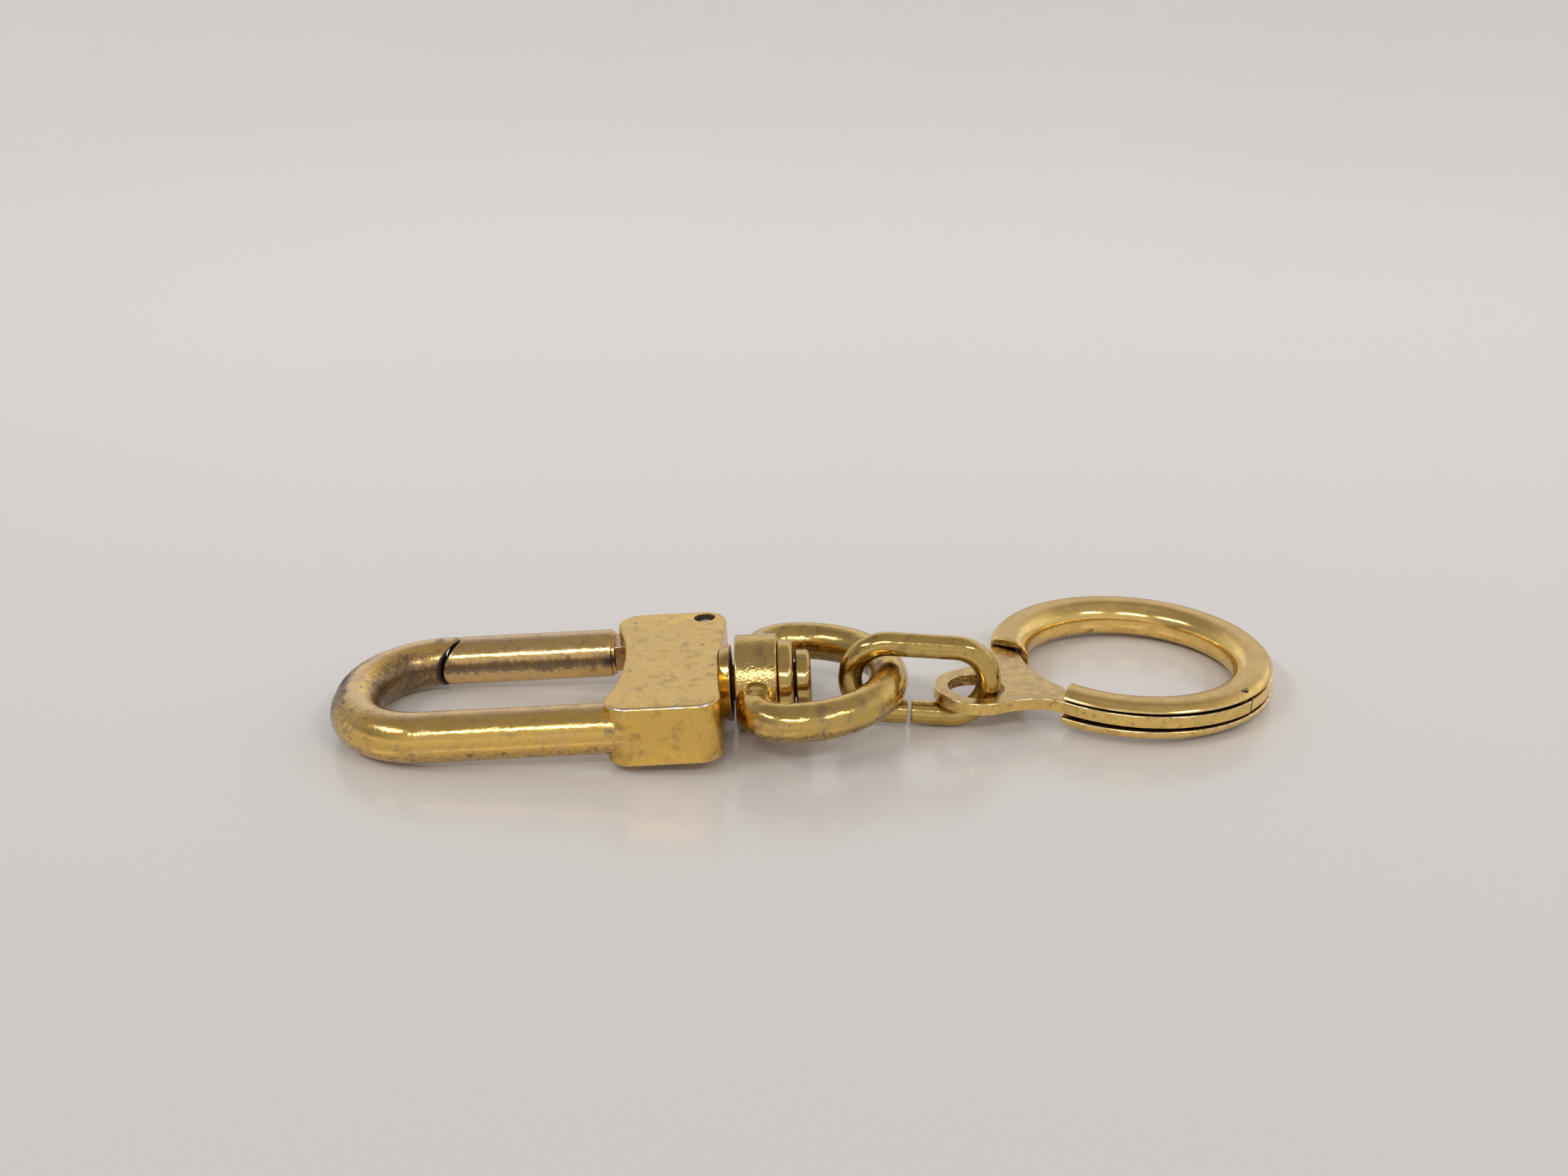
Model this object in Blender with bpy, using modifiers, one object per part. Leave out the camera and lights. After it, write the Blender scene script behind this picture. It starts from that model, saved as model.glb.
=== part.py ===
"""Key holder in worn brass: snap hook with a sprung gate, swivel eye, cut link and opening key ring.

Metres, +Z up. The holder lies on the plane z = 0 with the hook to -X and the key ring to +X.
The origin is the middle of the bottom of its bounding box.
"""
import math

import bmesh
import bpy
from mathutils import Matrix, Vector

# Clearances and cutter overrun
FIT_GAP = 0.00020
RUNNING_GAP = 0.00025
OVERRUN = 0.0015

# Hook: a round rod bent to a U, seated in a cast block
HOOK_ROD_RADIUS = 0.00224
BOW_RADIUS = 0.00781
BOW_CORNER = 0.00710
ARM_LENGTH = 0.01673
SOCKET_DEPTH = 0.00420
BLOCK_LENGTH = 0.01015
BLOCK_THICKNESS = 0.00564
BLOCK_CORNER = 0.00210
BLOCK_EDGE = 0.00030
LEFT_HOLLOW = 0.00120
RIGHT_HOLLOW = 0.00035

# Gate: a round bar with a tongue between the block's cheeks
NOSE_RADIUS = 0.00310
NOSE_AHEAD = 0.00188
NOSE_DROP = 0.00060
GROOVE_RADIUS = 0.00267
GROOVE_BACK = 0.00098
GROOVE_RISE = 0.00022
GATE_NECK_LENGTH = 0.00040
GATE_NECK_INSET = 0.00014
GATE_STANDOFF = 0.00068
TONGUE_THICKNESS = 0.00250
TONGUE_WIDTH = 0.00330
GATE_PIN_RADIUS = 0.00075
GATE_BOSS_RADIUS = 0.00125
GATE_PIN_INSET = 0.00205
GATE_PIN_BACK = 0.00148
GATE_SLOT_LIP_DEG = 60.0
GATE_SWING_DEG = 18.0

# Gate spring: a small coil between the tongue and a pocket in the block
SPRING_RADIUS = 0.00085
SPRING_WIRE_RADIUS = 0.00018
SPRING_PITCH = 0.00085
SPRING_POCKET_DEPTH = 0.00300
SPRING_SETBACK = 0.00190

# Swivel: collar, eye and washer stacked on a headed pin
PIN_RADIUS = 0.00160
PIN_SEAT_DEPTH = 0.00480
COLLAR_RADIUS = 0.00350
COLLAR_THICKNESS = 0.00075
SWIVEL_GAP = 0.00042
BARREL_RADIUS = 0.00431
BARREL_LENGTH = 0.00376
WASHER_RADIUS = 0.00366
WASHER_THICKNESS = 0.00125
HEAD_RADIUS = 0.00270
HEAD_THICKNESS = 0.00135

# Bail: the loop of the swivel eye
BAIL_ROD_RADIUS = 0.00175
BAIL_RADIUS = 0.00850
BAIL_ROOT_BEND = 0.00290
BAIL_CENTRE_AHEAD = 0.00342
EYE_DROOP_DEG = 0.9

# Link: a cut stadium of round wire
LINK_WIRE_RADIUS = 0.00110
LINK_STRAIGHT = 0.00595
LINK_SIDE_PLAY = 0.00048
LINK_END_PLAY = 0.00065
LINK_ASIDE = 0.00014
LINK_CUT = 0.00036
LINK_CUT_SHARE = -0.11
LINK_HANG = 0.000126

# Key ring: a slotted ring and the tab plate whose arm lies in the slot
RING_RADIUS = 0.01350
RING_WIDTH = 0.00386
RING_HEIGHT = 0.00354
RING_SQUARENESS = 2.9
RING_WEB = 0.00125
RING_FOOT_SHARE = 0.41
SLOT_LIFT = 0.00020
SLOT_FILL_INSET = 0.00022
SLOT_FILL_LAP = 0.00010
PLATE_THICKNESS = 0.00115
PLATE_INSET = 0.00015
PLATE_GAP_INSET = 0.00091
TAB_STEP_RUN = 0.00085
NECK_SHARE = 0.62
FLARE_SHARE = 0.24
EYE_DISTANCE = 0.01740
EYE_RIM = 0.00133
EYE_PLAY = 0.00140
EYE_AHEAD = 0.00227
EYE_ASIDE = 0.00082
RING_YAW_DEG = 27.5
RIVET_RADIUS = 0.00070

# Places round the key ring, in degrees from the tab's direction
FRONT_END_OUTER_DEG = 26.3
FRONT_END_INNER_DEG = 21.6
BACK_END_OUTER_DEG = 34.2
BACK_END_INNER_DEG = 25.9
RIVET_DEG = 107.0
TONGUE_END_DEG = 46.0
RING_SWING_DEG = 60.0

# Facets
ROUND_SIDES = 32
ROD_RESOLUTION = 6
BEND_STEP_DEG = 7.5
RING_STEPS = 72
SECTION_STEPS = 24

# Colours: base colour, roughness
BRASS_WORN = ((0.56, 0.41, 0.17), 0.34)
BRASS_BRIGHT = ((0.68, 0.49, 0.17), 0.24)
BRASS_DARK = ((0.34, 0.24, 0.11), 0.38)
STEEL = ((0.45, 0.44, 0.42), 0.35)

# Worked out from the sizes above, along the hook's own axis from the block's right face
BLOCK_HALF_WIDTH = BOW_RADIUS + HOOK_ROD_RADIUS
LEFT_HORN_X = RIGHT_HOLLOW - BLOCK_LENGTH
LEFT_FACE_X = LEFT_HORN_X + LEFT_HOLLOW
GATE_ROOT_X = LEFT_HORN_X - GATE_STANDOFF
BOW_CENTRE_X = LEFT_FACE_X - ARM_LENGTH
NOSE_CENTRE_X = BOW_CENTRE_X + NOSE_AHEAD
GATE_PIN_X = RIGHT_HOLLOW - GATE_PIN_INSET
GATE_PIN_Y = BLOCK_HALF_WIDTH - GATE_PIN_BACK
COLLAR_X = FIT_GAP
BARREL_X = COLLAR_X + COLLAR_THICKNESS + SWIVEL_GAP
WASHER_X = BARREL_X + BARREL_LENGTH + FIT_GAP
HEAD_X = WASHER_X + WASHER_THICKNESS + FIT_GAP
BAIL_ROOT_X = BARREL_X + BARREL_LENGTH / 2
BAIL_CENTRE_X = BAIL_ROOT_X + BAIL_CENTRE_AHEAD
BAIL_END_X = BAIL_CENTRE_X + BAIL_RADIUS

# The hook leans on the bend of its bow and on the left rim of the barrel
LEAN_REACH = BARREL_X - BOW_CENTRE_X + BOW_RADIUS
HOOK_TILT = (math.atan2(BARREL_RADIUS, LEAN_REACH)
             - math.asin(HOOK_ROD_RADIUS / math.hypot(BARREL_RADIUS, LEAN_REACH)))
HOOK_HEIGHT = BARREL_RADIUS * math.cos(HOOK_TILT) - BARREL_X * math.sin(HOOK_TILT)

# The link hangs on the bail's end, and its right bend stands on the plane
BAIL_RISE = BAIL_ROOT_X * math.sin(HOOK_TILT)
BAIL_SLOPE = HOOK_TILT - math.radians(EYE_DROOP_DEG)
BAIL_END_HEIGHT = HOOK_HEIGHT + BAIL_RISE + (BAIL_END_X - BAIL_ROOT_X) * math.sin(BAIL_SLOPE)
LINK_BEND = BAIL_ROD_RADIUS + LINK_WIRE_RADIUS + LINK_SIDE_PLAY
LINK_HALF = LINK_STRAIGHT / 2
LINK_RISE = BAIL_END_HEIGHT - LINK_HANG - LINK_BEND - LINK_WIRE_RADIUS
LINK_PITCH = math.asin(LINK_RISE / LINK_STRAIGHT)
LINK_HEIGHT = LINK_BEND + LINK_WIRE_RADIUS + LINK_HALF * math.sin(LINK_PITCH)
LINK_TO_BAIL = LINK_HALF + LINK_BEND - (BAIL_ROD_RADIUS + LINK_WIRE_RADIUS + LINK_END_PLAY)

# The tab's eye rests over the link's lower run, and the ring on its far edge
RING_YAW = math.radians(RING_YAW_DEG)
RING_MID_RADIUS = RING_RADIUS - RING_WIDTH / 2
RING_INNER_RADIUS = RING_RADIUS - RING_WIDTH
EYE_HOLE_RADIUS = LINK_WIRE_RADIUS + EYE_PLAY
EYE_RADIUS = EYE_HOLE_RADIUS + EYE_RIM
PLATE_HALF = PLATE_THICKNESS / 2
LINK_TOP = 2 * LINK_WIRE_RADIUS
PLATE_RISE = LINK_TOP + RUNNING_GAP + PLATE_HALF - SLOT_LIFT - RING_HEIGHT / 2
RING_FOOT = RING_RADIUS - RING_WIDTH * RING_FOOT_SHARE
RING_TILT = math.asin(PLATE_RISE / (EYE_DISTANCE + RING_FOOT))
RING_LIFT = (RING_HEIGHT / 2) * math.cos(RING_TILT) + RING_FOOT * math.sin(RING_TILT)
SLOT_HALF = PLATE_HALF + RUNNING_GAP
WEB_RADIUS = RING_INNER_RADIUS + RING_WEB
ARM_OUTER = RING_RADIUS - PLATE_INSET
ARM_INNER = WEB_RADIUS + RUNNING_GAP
ARM_MID = (ARM_OUTER + ARM_INNER) / 2
ARM_HALF = (ARM_OUTER - ARM_INNER) / 2
GAP_INNER = RING_INNER_RADIUS + PLATE_GAP_INSET
CAP_TURN = (ARM_HALF + 2 * RUNNING_GAP) / ARM_MID
TONGUE_TURN = math.radians(TONGUE_END_DEG) + RUNNING_GAP / ARM_INNER


def rotation(axis, angle):
    """4x4 turn about a named axis."""
    return Matrix.Rotation(angle, 4, axis)


def place_group_frames():
    """World matrices of the hook, the link and the key ring, before the origin is centred."""
    hook = Matrix.Translation((0, 0, HOOK_HEIGHT)) @ rotation('Y', -HOOK_TILT)
    bail_end = hook @ droop() @ Vector((BAIL_END_X, 0, 0))
    link_at = Vector((bail_end.x + LINK_TO_BAIL * math.cos(LINK_PITCH), LINK_ASIDE, LINK_HEIGHT))
    link = Matrix.Translation(link_at) @ rotation('Y', LINK_PITCH)
    right_bend = link @ Vector((LINK_HALF, 0, 0))
    run = EYE_DISTANCE * math.cos(RING_TILT)
    ring_at = Vector((right_bend.x + EYE_AHEAD + run * math.cos(RING_YAW),
                      EYE_ASIDE + run * math.sin(RING_YAW), RING_LIFT))
    ring = Matrix.Translation(ring_at) @ rotation('Z', RING_YAW) @ rotation('Y', RING_TILT)
    low_x = hook.translation.x - (BOW_RADIUS - BOW_CENTRE_X) * math.cos(HOOK_TILT) - HOOK_ROD_RADIUS
    high_x = ring_at.x + RING_RADIUS
    low_y = -(BAIL_RADIUS + BAIL_ROD_RADIUS)
    high_y = ring_at.y + RING_RADIUS
    centred = Matrix.Translation((-(low_x + high_x) / 2, -(low_y + high_y) / 2, 0))
    return centred @ hook, centred @ link, centred @ ring


def droop():
    """The swivel eye's slack on its pin: turned about the middle of its barrel, bail down."""
    middle = Matrix.Translation((BAIL_ROOT_X, 0, 0))
    return middle @ rotation('Y', math.radians(EYE_DROOP_DEG)) @ middle.inverted()


def make_collection(name):
    collection = bpy.data.collections.new(name)
    bpy.context.scene.collection.children.link(collection)
    return collection


def make_material(name, look):
    """Metal with one colour and one roughness."""
    colour, roughness = look
    material = bpy.data.materials.new(name)
    material.use_nodes = True
    shader = material.node_tree.nodes["Principled BSDF"]
    shader.inputs["Base Color"].default_value = (*colour, 1.0)
    shader.inputs["Roughness"].default_value = roughness
    shader.inputs["Metallic"].default_value = 1.0
    return material


def make_empty(name, matrix, parent=None):
    """Axis marker: matrix is in the parent's own frame."""
    empty = bpy.data.objects.new(name, None)
    PARTS.objects.link(empty)
    empty.parent = parent
    empty.matrix_local = matrix
    return empty


def arc(centre, radius, start, end, step=math.radians(BEND_STEP_DEG)):
    """Points on a circle from start to end angle, both ends included."""
    count = max(2, math.ceil(abs(end - start) / step))
    return [(centre[0] + radius * math.cos(start + (end - start) * i / count),
             centre[1] + radius * math.sin(start + (end - start) * i / count))
            for i in range(count + 1)]


def polar(radius, degrees, side=1):
    """Point round the key ring, counted in degrees from the tab's direction (-X)."""
    angle = math.pi + side * math.radians(degrees)
    return radius * math.cos(angle), radius * math.sin(angle)


def evaluated_mesh(obj, turn=Matrix.Identity(4)):
    """Mesh of a curve or modifier stack, welded and turned; the object is removed."""
    bpy.context.view_layer.update()
    graph = bpy.context.evaluated_depsgraph_get()
    mesh = bpy.data.meshes.new_from_object(obj.evaluated_get(graph))
    work = bmesh.new()
    work.from_mesh(mesh)
    bmesh.ops.remove_doubles(work, verts=work.verts, dist=FIT_GAP / 100)
    bmesh.ops.transform(work, matrix=turn, verts=work.verts)
    bmesh.ops.recalc_face_normals(work, faces=work.faces)
    work.to_mesh(mesh)
    work.free()
    bpy.data.objects.remove(obj)
    return mesh


def curve_object(name, dimensions, loops, cyclic):
    """Curve of poly splines through lists of points."""
    curve = bpy.data.curves.new(name, 'CURVE')
    curve.dimensions = dimensions
    for points in loops:
        spline = curve.splines.new('POLY')
        spline.points.add(len(points) - 1)
        for slot, point in zip(spline.points, points):
            slot.co = (*point, *([0.0] * (3 - len(point))), 1.0)
        spline.use_cyclic_u = cyclic
    obj = bpy.data.objects.new(name, curve)
    CUTTERS.objects.link(obj)
    return obj


def plate_mesh(name, loops, thickness, turn=Matrix.Identity(4)):
    """Flat outline with its holes, as thick as given, centred on its own plane."""
    obj = curve_object(name, '2D', loops, True)
    obj.data.fill_mode = 'BOTH'
    obj.data.extrude = thickness / 2
    return evaluated_mesh(obj, turn)


def rod_mesh(name, points, radius, resolution=ROD_RESOLUTION):
    """Round rod with filled ends along a path."""
    obj = curve_object(name, '3D', [points], False)
    obj.data.bevel_depth = radius
    obj.data.bevel_resolution = resolution
    obj.data.use_fill_caps = True
    return evaluated_mesh(obj)


def turned_mesh(name, profile, steps=ROUND_SIDES, turn=Matrix.Identity(4), closed=False):
    """Profile of (radius, height) points, outer side top to bottom, turned about Z."""
    mesh = bpy.data.meshes.new(name)
    edges = [(i, i + 1) for i in range(len(profile) - 1)]
    if closed:
        edges.append((len(profile) - 1, 0))
    mesh.from_pydata([(r, 0.0, z) for r, z in profile], edges, [])
    obj = bpy.data.objects.new(name, mesh)
    CUTTERS.objects.link(obj)
    screw = obj.modifiers.new("Turn", 'SCREW')
    screw.axis = 'Z'
    screw.steps = steps
    screw.render_steps = steps
    screw.use_merge_vertices = True
    screw.merge_threshold = FIT_GAP / 100
    return evaluated_mesh(obj, turn)


def along_x(start_x, end_x, radius, name, y=0.0, z=0.0):
    """Plain round bar along X."""
    length = end_x - start_x
    profile = [(0, length), (radius, length), (radius, 0), (0, 0)]
    turn = Matrix.Translation((start_x, y, z)) @ rotation('Y', math.pi / 2)
    return turned_mesh(name, profile, turn=turn)


def upright(x, y, low_z, high_z, radius, name):
    """Plain round bar along Z."""
    profile = [(0, high_z), (radius, high_z), (radius, low_z), (0, low_z)]
    return turned_mesh(name, profile, turn=Matrix.Translation((x, y, 0)))


def add_part(name, mesh, look, parent, offset=None):
    """Object for a sub-part: the mesh is in its group's frame, offset is the parent's place there."""
    obj = bpy.data.objects.new(name, mesh)
    PARTS.objects.link(obj)
    if offset is not None:
        mesh.transform(offset.inverted())
    obj.parent = parent
    mesh.materials.clear()
    mesh.materials.append(make_material(name + "_metal", look))
    mesh.shade_smooth()
    mesh.set_sharp_from_angle(angle=math.radians(35))
    return obj


def boolean(obj, mesh, operation, offset=None):
    """Cut or join a mesh given in the same group frame as the part."""
    tool = bpy.data.objects.new(obj.name + "_" + operation.lower(), mesh)
    CUTTERS.objects.link(tool)
    if offset is not None:
        mesh.transform(offset.inverted())
    tool.parent = obj.parent
    tool.hide_render = True
    tool.display_type = 'WIRE'
    modifier = obj.modifiers.new(operation.title(), 'BOOLEAN')
    modifier.operation = operation
    modifier.solver = 'EXACT'
    modifier.object = tool


def bevel_edges(obj, width):
    """Round the sharp edges of a part."""
    modifier = obj.modifiers.new("Edge", 'BEVEL')
    modifier.width = width
    modifier.segments = 2
    modifier.limit_method = 'ANGLE'
    modifier.angle_limit = math.radians(50)


def block_side(horn_x, hollow, side):
    """Upper half of a hollowed side: from its middle to the top of its rounded corner.

    The hollow is an arc that meets the corner's arc without a kink.
    """
    corner_y = BLOCK_HALF_WIDTH - BLOCK_CORNER
    reach = (corner_y ** 2 + hollow ** 2) / (2 * hollow)
    hollow_radius = reach - BLOCK_CORNER
    middle_x = horn_x - side * hollow
    meet = math.asin(corner_y / reach)
    rows = 6
    points = []
    for i in range(rows + 1):
        beta = meet * i / rows
        points.append((middle_x + side * hollow_radius * (1 - math.cos(beta)), hollow_radius * math.sin(beta)))
    corner = arc((0, 0), BLOCK_CORNER, -meet, math.pi / 2, math.radians(15))
    points += [(horn_x - side * BLOCK_CORNER + side * x, corner_y + y) for x, y in corner[1:]]
    return points


def block_outline():
    right = block_side(RIGHT_HOLLOW, RIGHT_HOLLOW, 1)
    left = block_side(LEFT_HORN_X, LEFT_HOLLOW, -1)
    top = right + left[::-1]
    return top + [(x, -y) for x, y in top[::-1][1:-1]]


def tongue_outline(grow):
    """Gate tongue in plan, from inside the bar's root to its boss, grown by a clearance."""
    root_x = GATE_ROOT_X - GATE_NECK_LENGTH
    half = TONGUE_WIDTH / 2 + grow
    boss = arc((GATE_PIN_X, GATE_PIN_Y), GATE_BOSS_RADIUS + grow, -math.pi / 2, math.pi / 2)
    return [(root_x, BOW_RADIUS - half)] + boss + [(root_x, BOW_RADIUS + half)]


def gate_slot_outline():
    """Room for the tongue at rest and swung in, open at the left and at the back."""
    pin = Vector((GATE_PIN_X, GATE_PIN_Y))
    angle = math.radians(GATE_SWING_DEG)
    swing = Matrix.Rotation(angle, 2)
    swung = [tuple(pin + swing @ (Vector(point) - pin)) for point in tongue_outline(RUNNING_GAP)[:2]]
    out_x = GATE_ROOT_X - OVERRUN
    slope = (swung[1][1] - swung[0][1]) / (swung[1][0] - swung[0][0])
    inner = (out_x, swung[0][1] + slope * (out_x - swung[0][0]))
    round_radius = GATE_BOSS_RADIUS + RUNNING_GAP
    back_y = BLOCK_HALF_WIDTH + OVERRUN
    lip = math.radians(GATE_SLOT_LIP_DEG)
    outline = [inner] + arc(tuple(pin), round_radius, angle - math.pi / 2, lip)
    return outline + [(GATE_PIN_X + round_radius * math.cos(lip), back_y), (out_x, back_y)]


def spring_place():
    """Plan x of the spring and the y of the tongue's and the slot's sides there."""
    slot = gate_slot_outline()
    x = LEFT_FACE_X + SPRING_SETBACK
    rise = (slot[1][1] - slot[0][1]) / (slot[1][0] - slot[0][0])
    wall_y = slot[0][1] + rise * (x - slot[0][0])
    tongue = tongue_outline(0)
    lean = (tongue[1][1] - tongue[0][1]) / (tongue[1][0] - tongue[0][0])
    tongue_y = tongue[0][1] + lean * (x - tongue[0][0])
    return x, wall_y, tongue_y


def make_hook(frame):
    """Block, bow, gate pin and spring, fixed to the hook's frame."""
    look = BRASS_WORN
    block = add_part("hook_block", plate_mesh("block", [block_outline()], BLOCK_THICKNESS), look, frame)
    bevel_edges(block, BLOCK_EDGE)
    slot = plate_mesh("gate_slot", [gate_slot_outline()], TONGUE_THICKNESS + 2 * RUNNING_GAP)
    boolean(block, slot, 'DIFFERENCE')
    socket = along_x(LEFT_HORN_X - OVERRUN, LEFT_FACE_X + SOCKET_DEPTH + FIT_GAP,
                     HOOK_ROD_RADIUS + FIT_GAP, "arm_socket", y=-BOW_RADIUS)
    boolean(block, socket, 'DIFFERENCE')
    pin_seat = along_x(-PIN_SEAT_DEPTH - FIT_GAP, RIGHT_HOLLOW + OVERRUN, PIN_RADIUS + FIT_GAP, "pin_seat")
    boolean(block, pin_seat, 'DIFFERENCE')
    half = BLOCK_THICKNESS / 2
    boolean(block, upright(GATE_PIN_X, GATE_PIN_Y, -half - OVERRUN, half + OVERRUN,
                           GATE_PIN_RADIUS + FIT_GAP, "gate_pin_hole"), 'DIFFERENCE')
    spring_x, wall_y, tongue_y = spring_place()
    pocket_radius = SPRING_RADIUS + SPRING_WIRE_RADIUS + FIT_GAP
    pocket_floor = wall_y - SPRING_POCKET_DEPTH
    pocket = turned_mesh("spring_pocket", [(0, wall_y + OVERRUN), (pocket_radius, wall_y + OVERRUN),
                                           (pocket_radius, pocket_floor), (0, pocket_floor)], steps=20,
                         turn=Matrix.Translation((spring_x, 0, 0)) @ rotation('X', -math.pi / 2))
    boolean(block, pocket, 'DIFFERENCE')

    tip_x = NOSE_CENTRE_X - GROOVE_BACK
    flat = BOW_RADIUS - BOW_CORNER
    path = [(LEFT_FACE_X + SOCKET_DEPTH, -BOW_RADIUS)]
    path += arc((BOW_CENTRE_X - flat, -flat), BOW_CORNER, 1.5 * math.pi, math.pi)
    path += arc((BOW_CENTRE_X - flat, flat), BOW_CORNER, math.pi, 0.5 * math.pi) + [(tip_x, BOW_RADIUS)]
    bow = add_part("hook_bow", rod_mesh("bow", [(x, y, 0) for x, y in path], HOOK_ROD_RADIUS), look, frame)
    reach = HOOK_ROD_RADIUS + OVERRUN
    groove_at = Matrix.Translation((tip_x, BOW_RADIUS, GROOVE_RISE - NOSE_DROP))
    groove = turned_mesh("nose_groove", [(0, reach), (GROOVE_RADIUS, reach), (GROOVE_RADIUS, -reach),
                                         (0, -reach)], 48, groove_at @ rotation('X', math.pi / 2))
    boolean(bow, groove, 'DIFFERENCE')

    pin_end = half - FIT_GAP / 4
    gate_pin = upright(GATE_PIN_X, GATE_PIN_Y, -pin_end, pin_end, GATE_PIN_RADIUS, "pin")
    add_part("gate_pin", gate_pin, BRASS_DARK, frame)

    low = pocket_floor + FIT_GAP + SPRING_WIRE_RADIUS
    high = tongue_y - FIT_GAP - SPRING_WIRE_RADIUS
    turns = int((high - low) / SPRING_PITCH)
    pitch = (high - low) / turns
    coil = spring_points(spring_x, low, turns, pitch)
    add_part("gate_spring", rod_mesh("coil", coil, SPRING_WIRE_RADIUS, 1), STEEL, frame)
    return block


def spring_points(x, low_y, turns, pitch, per_turn=12):
    """Helix about a line along Y; prints the least gap between its turns."""
    points = []
    for i in range(turns * per_turn + 1):
        angle = 2 * math.pi * i / per_turn
        points.append((x + SPRING_RADIUS * math.cos(angle), low_y + pitch * i / per_turn,
                       SPRING_RADIUS * math.sin(angle)))
    gap = min(math.dist(points[i], points[j]) for i in range(len(points))
              for j in range(i + per_turn // 2, len(points))) - 2 * SPRING_WIRE_RADIUS
    print(f"gate spring: least gap between turns {gap * 1000:.2f} mm")
    return points


def make_gate(axis, offset):
    """Round bar with a rounded nose, a stepped root and a tongue on the gate pin."""
    nose_x = NOSE_CENTRE_X - NOSE_RADIUS - FIT_GAP
    neck_x = GATE_ROOT_X + GATE_NECK_LENGTH
    neck = HOOK_ROD_RADIUS - GATE_NECK_INSET
    chamfer = GATE_NECK_LENGTH / 2
    profile = [(0, neck_x), (neck - chamfer, neck_x), (neck, neck_x - chamfer), (neck, GATE_ROOT_X),
               (HOOK_ROD_RADIUS, GATE_ROOT_X), (HOOK_ROD_RADIUS, nose_x), (0, nose_x)]
    lie = Matrix.Translation((0, BOW_RADIUS, 0)) @ rotation('Y', math.pi / 2)
    gate = add_part("gate_bar", turned_mesh("bar", profile, turn=lie), BRASS_DARK, axis, offset)

    far_x = GATE_ROOT_X + GATE_STANDOFF + GATE_NECK_LENGTH
    side = HOOK_ROD_RADIUS + FIT_GAP / 2
    low = math.pi + math.asin((side - NOSE_DROP) / NOSE_RADIUS)
    high = math.pi - math.asin((side + NOSE_DROP) / NOSE_RADIUS)
    shape = arc((NOSE_CENTRE_X, -NOSE_DROP), NOSE_RADIUS, high, low, math.radians(6))
    shape += [(far_x, -side), (far_x, side)]
    turn = Matrix.Translation((0, BOW_RADIUS, 0)) @ rotation('X', math.pi / 2)
    boolean(gate, plate_mesh("nose_shape", [shape], 2 * side + OVERRUN, turn), 'INTERSECT', offset)
    tongue = plate_mesh("tongue", [tongue_outline(0)], TONGUE_THICKNESS)
    boolean(gate, tongue, 'UNION', offset)
    hole = upright(GATE_PIN_X, GATE_PIN_Y, -TONGUE_THICKNESS, TONGUE_THICKNESS,
                   GATE_PIN_RADIUS + FIT_GAP, "pin_bore")
    boolean(gate, hole, 'DIFFERENCE', offset)


def make_swivel_fixed(frame):
    """Collar, washer and headed pin, fixed to the hook."""
    lie = rotation('Y', math.pi / 2)
    bore = PIN_RADIUS + FIT_GAP
    flare = COLLAR_THICKNESS / 4
    end = COLLAR_X + COLLAR_THICKNESS
    collar = [(COLLAR_RADIUS - flare / 2, end), (COLLAR_RADIUS, end - flare),
              (COLLAR_RADIUS - flare, COLLAR_X), (bore, COLLAR_X), (bore, end)]
    add_part("swivel_collar", turned_mesh("collar", collar, 40, lie, closed=True), BRASS_BRIGHT, frame)

    chamfer = WASHER_THICKNESS / 3
    end = WASHER_X + WASHER_THICKNESS
    washer = [(WASHER_RADIUS - chamfer, end), (WASHER_RADIUS, end - chamfer),
              (WASHER_RADIUS, WASHER_X + chamfer / 3), (WASHER_RADIUS - chamfer / 3, WASHER_X),
              (bore, WASHER_X), (bore, end)]
    add_part("swivel_washer", turned_mesh("washer", washer, 40, lie, closed=True), BRASS_BRIGHT, frame)

    chamfer = HEAD_THICKNESS / 3
    end = HEAD_X + HEAD_THICKNESS
    pin = [(0, end), (HEAD_RADIUS - chamfer, end), (HEAD_RADIUS, end - chamfer), (HEAD_RADIUS, HEAD_X),
           (PIN_RADIUS, HEAD_X), (PIN_RADIUS, -PIN_SEAT_DEPTH), (0, -PIN_SEAT_DEPTH)]
    add_part("swivel_pin", turned_mesh("pin", pin, turn=lie), BRASS_BRIGHT, frame)


def bail_path():
    """Bail centre line: out of the barrel, round a tight bend, then round to the right."""
    out_y = BAIL_RADIUS - BAIL_ROOT_BEND
    root_y = (PIN_RADIUS + BARREL_RADIUS) / 2
    corner_x = BAIL_ROOT_X + BAIL_ROOT_BEND
    half = [(BAIL_ROOT_X, root_y)]
    half += arc((corner_x, out_y), BAIL_ROOT_BEND, math.pi, math.pi / 2, math.radians(15))
    half += arc((BAIL_CENTRE_X, 0), BAIL_RADIUS, math.pi / 2, 0)
    return [(x, y, 0) for x, y in half] + [(x, -y, 0) for x, y in half[::-1][1:]]


def make_swivel_eye(axis):
    """Barrel with the bail grown out of its two sides."""
    chamfer = BARREL_LENGTH / 20
    end = BARREL_X + BARREL_LENGTH
    profile = [(0, end), (BARREL_RADIUS - chamfer, end), (BARREL_RADIUS, end - chamfer),
               (BARREL_RADIUS, BARREL_X + chamfer), (BARREL_RADIUS - chamfer, BARREL_X), (0, BARREL_X)]
    barrel = turned_mesh("barrel", profile, 48, rotation('Y', math.pi / 2))
    eye = add_part("swivel_eye", barrel, BRASS_WORN, axis)
    boolean(eye, rod_mesh("bail", bail_path(), BAIL_ROD_RADIUS), 'UNION')
    bore = along_x(BARREL_X - OVERRUN, end + OVERRUN, PIN_RADIUS + RUNNING_GAP, "eye_bore")
    boolean(eye, bore, 'DIFFERENCE')


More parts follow.
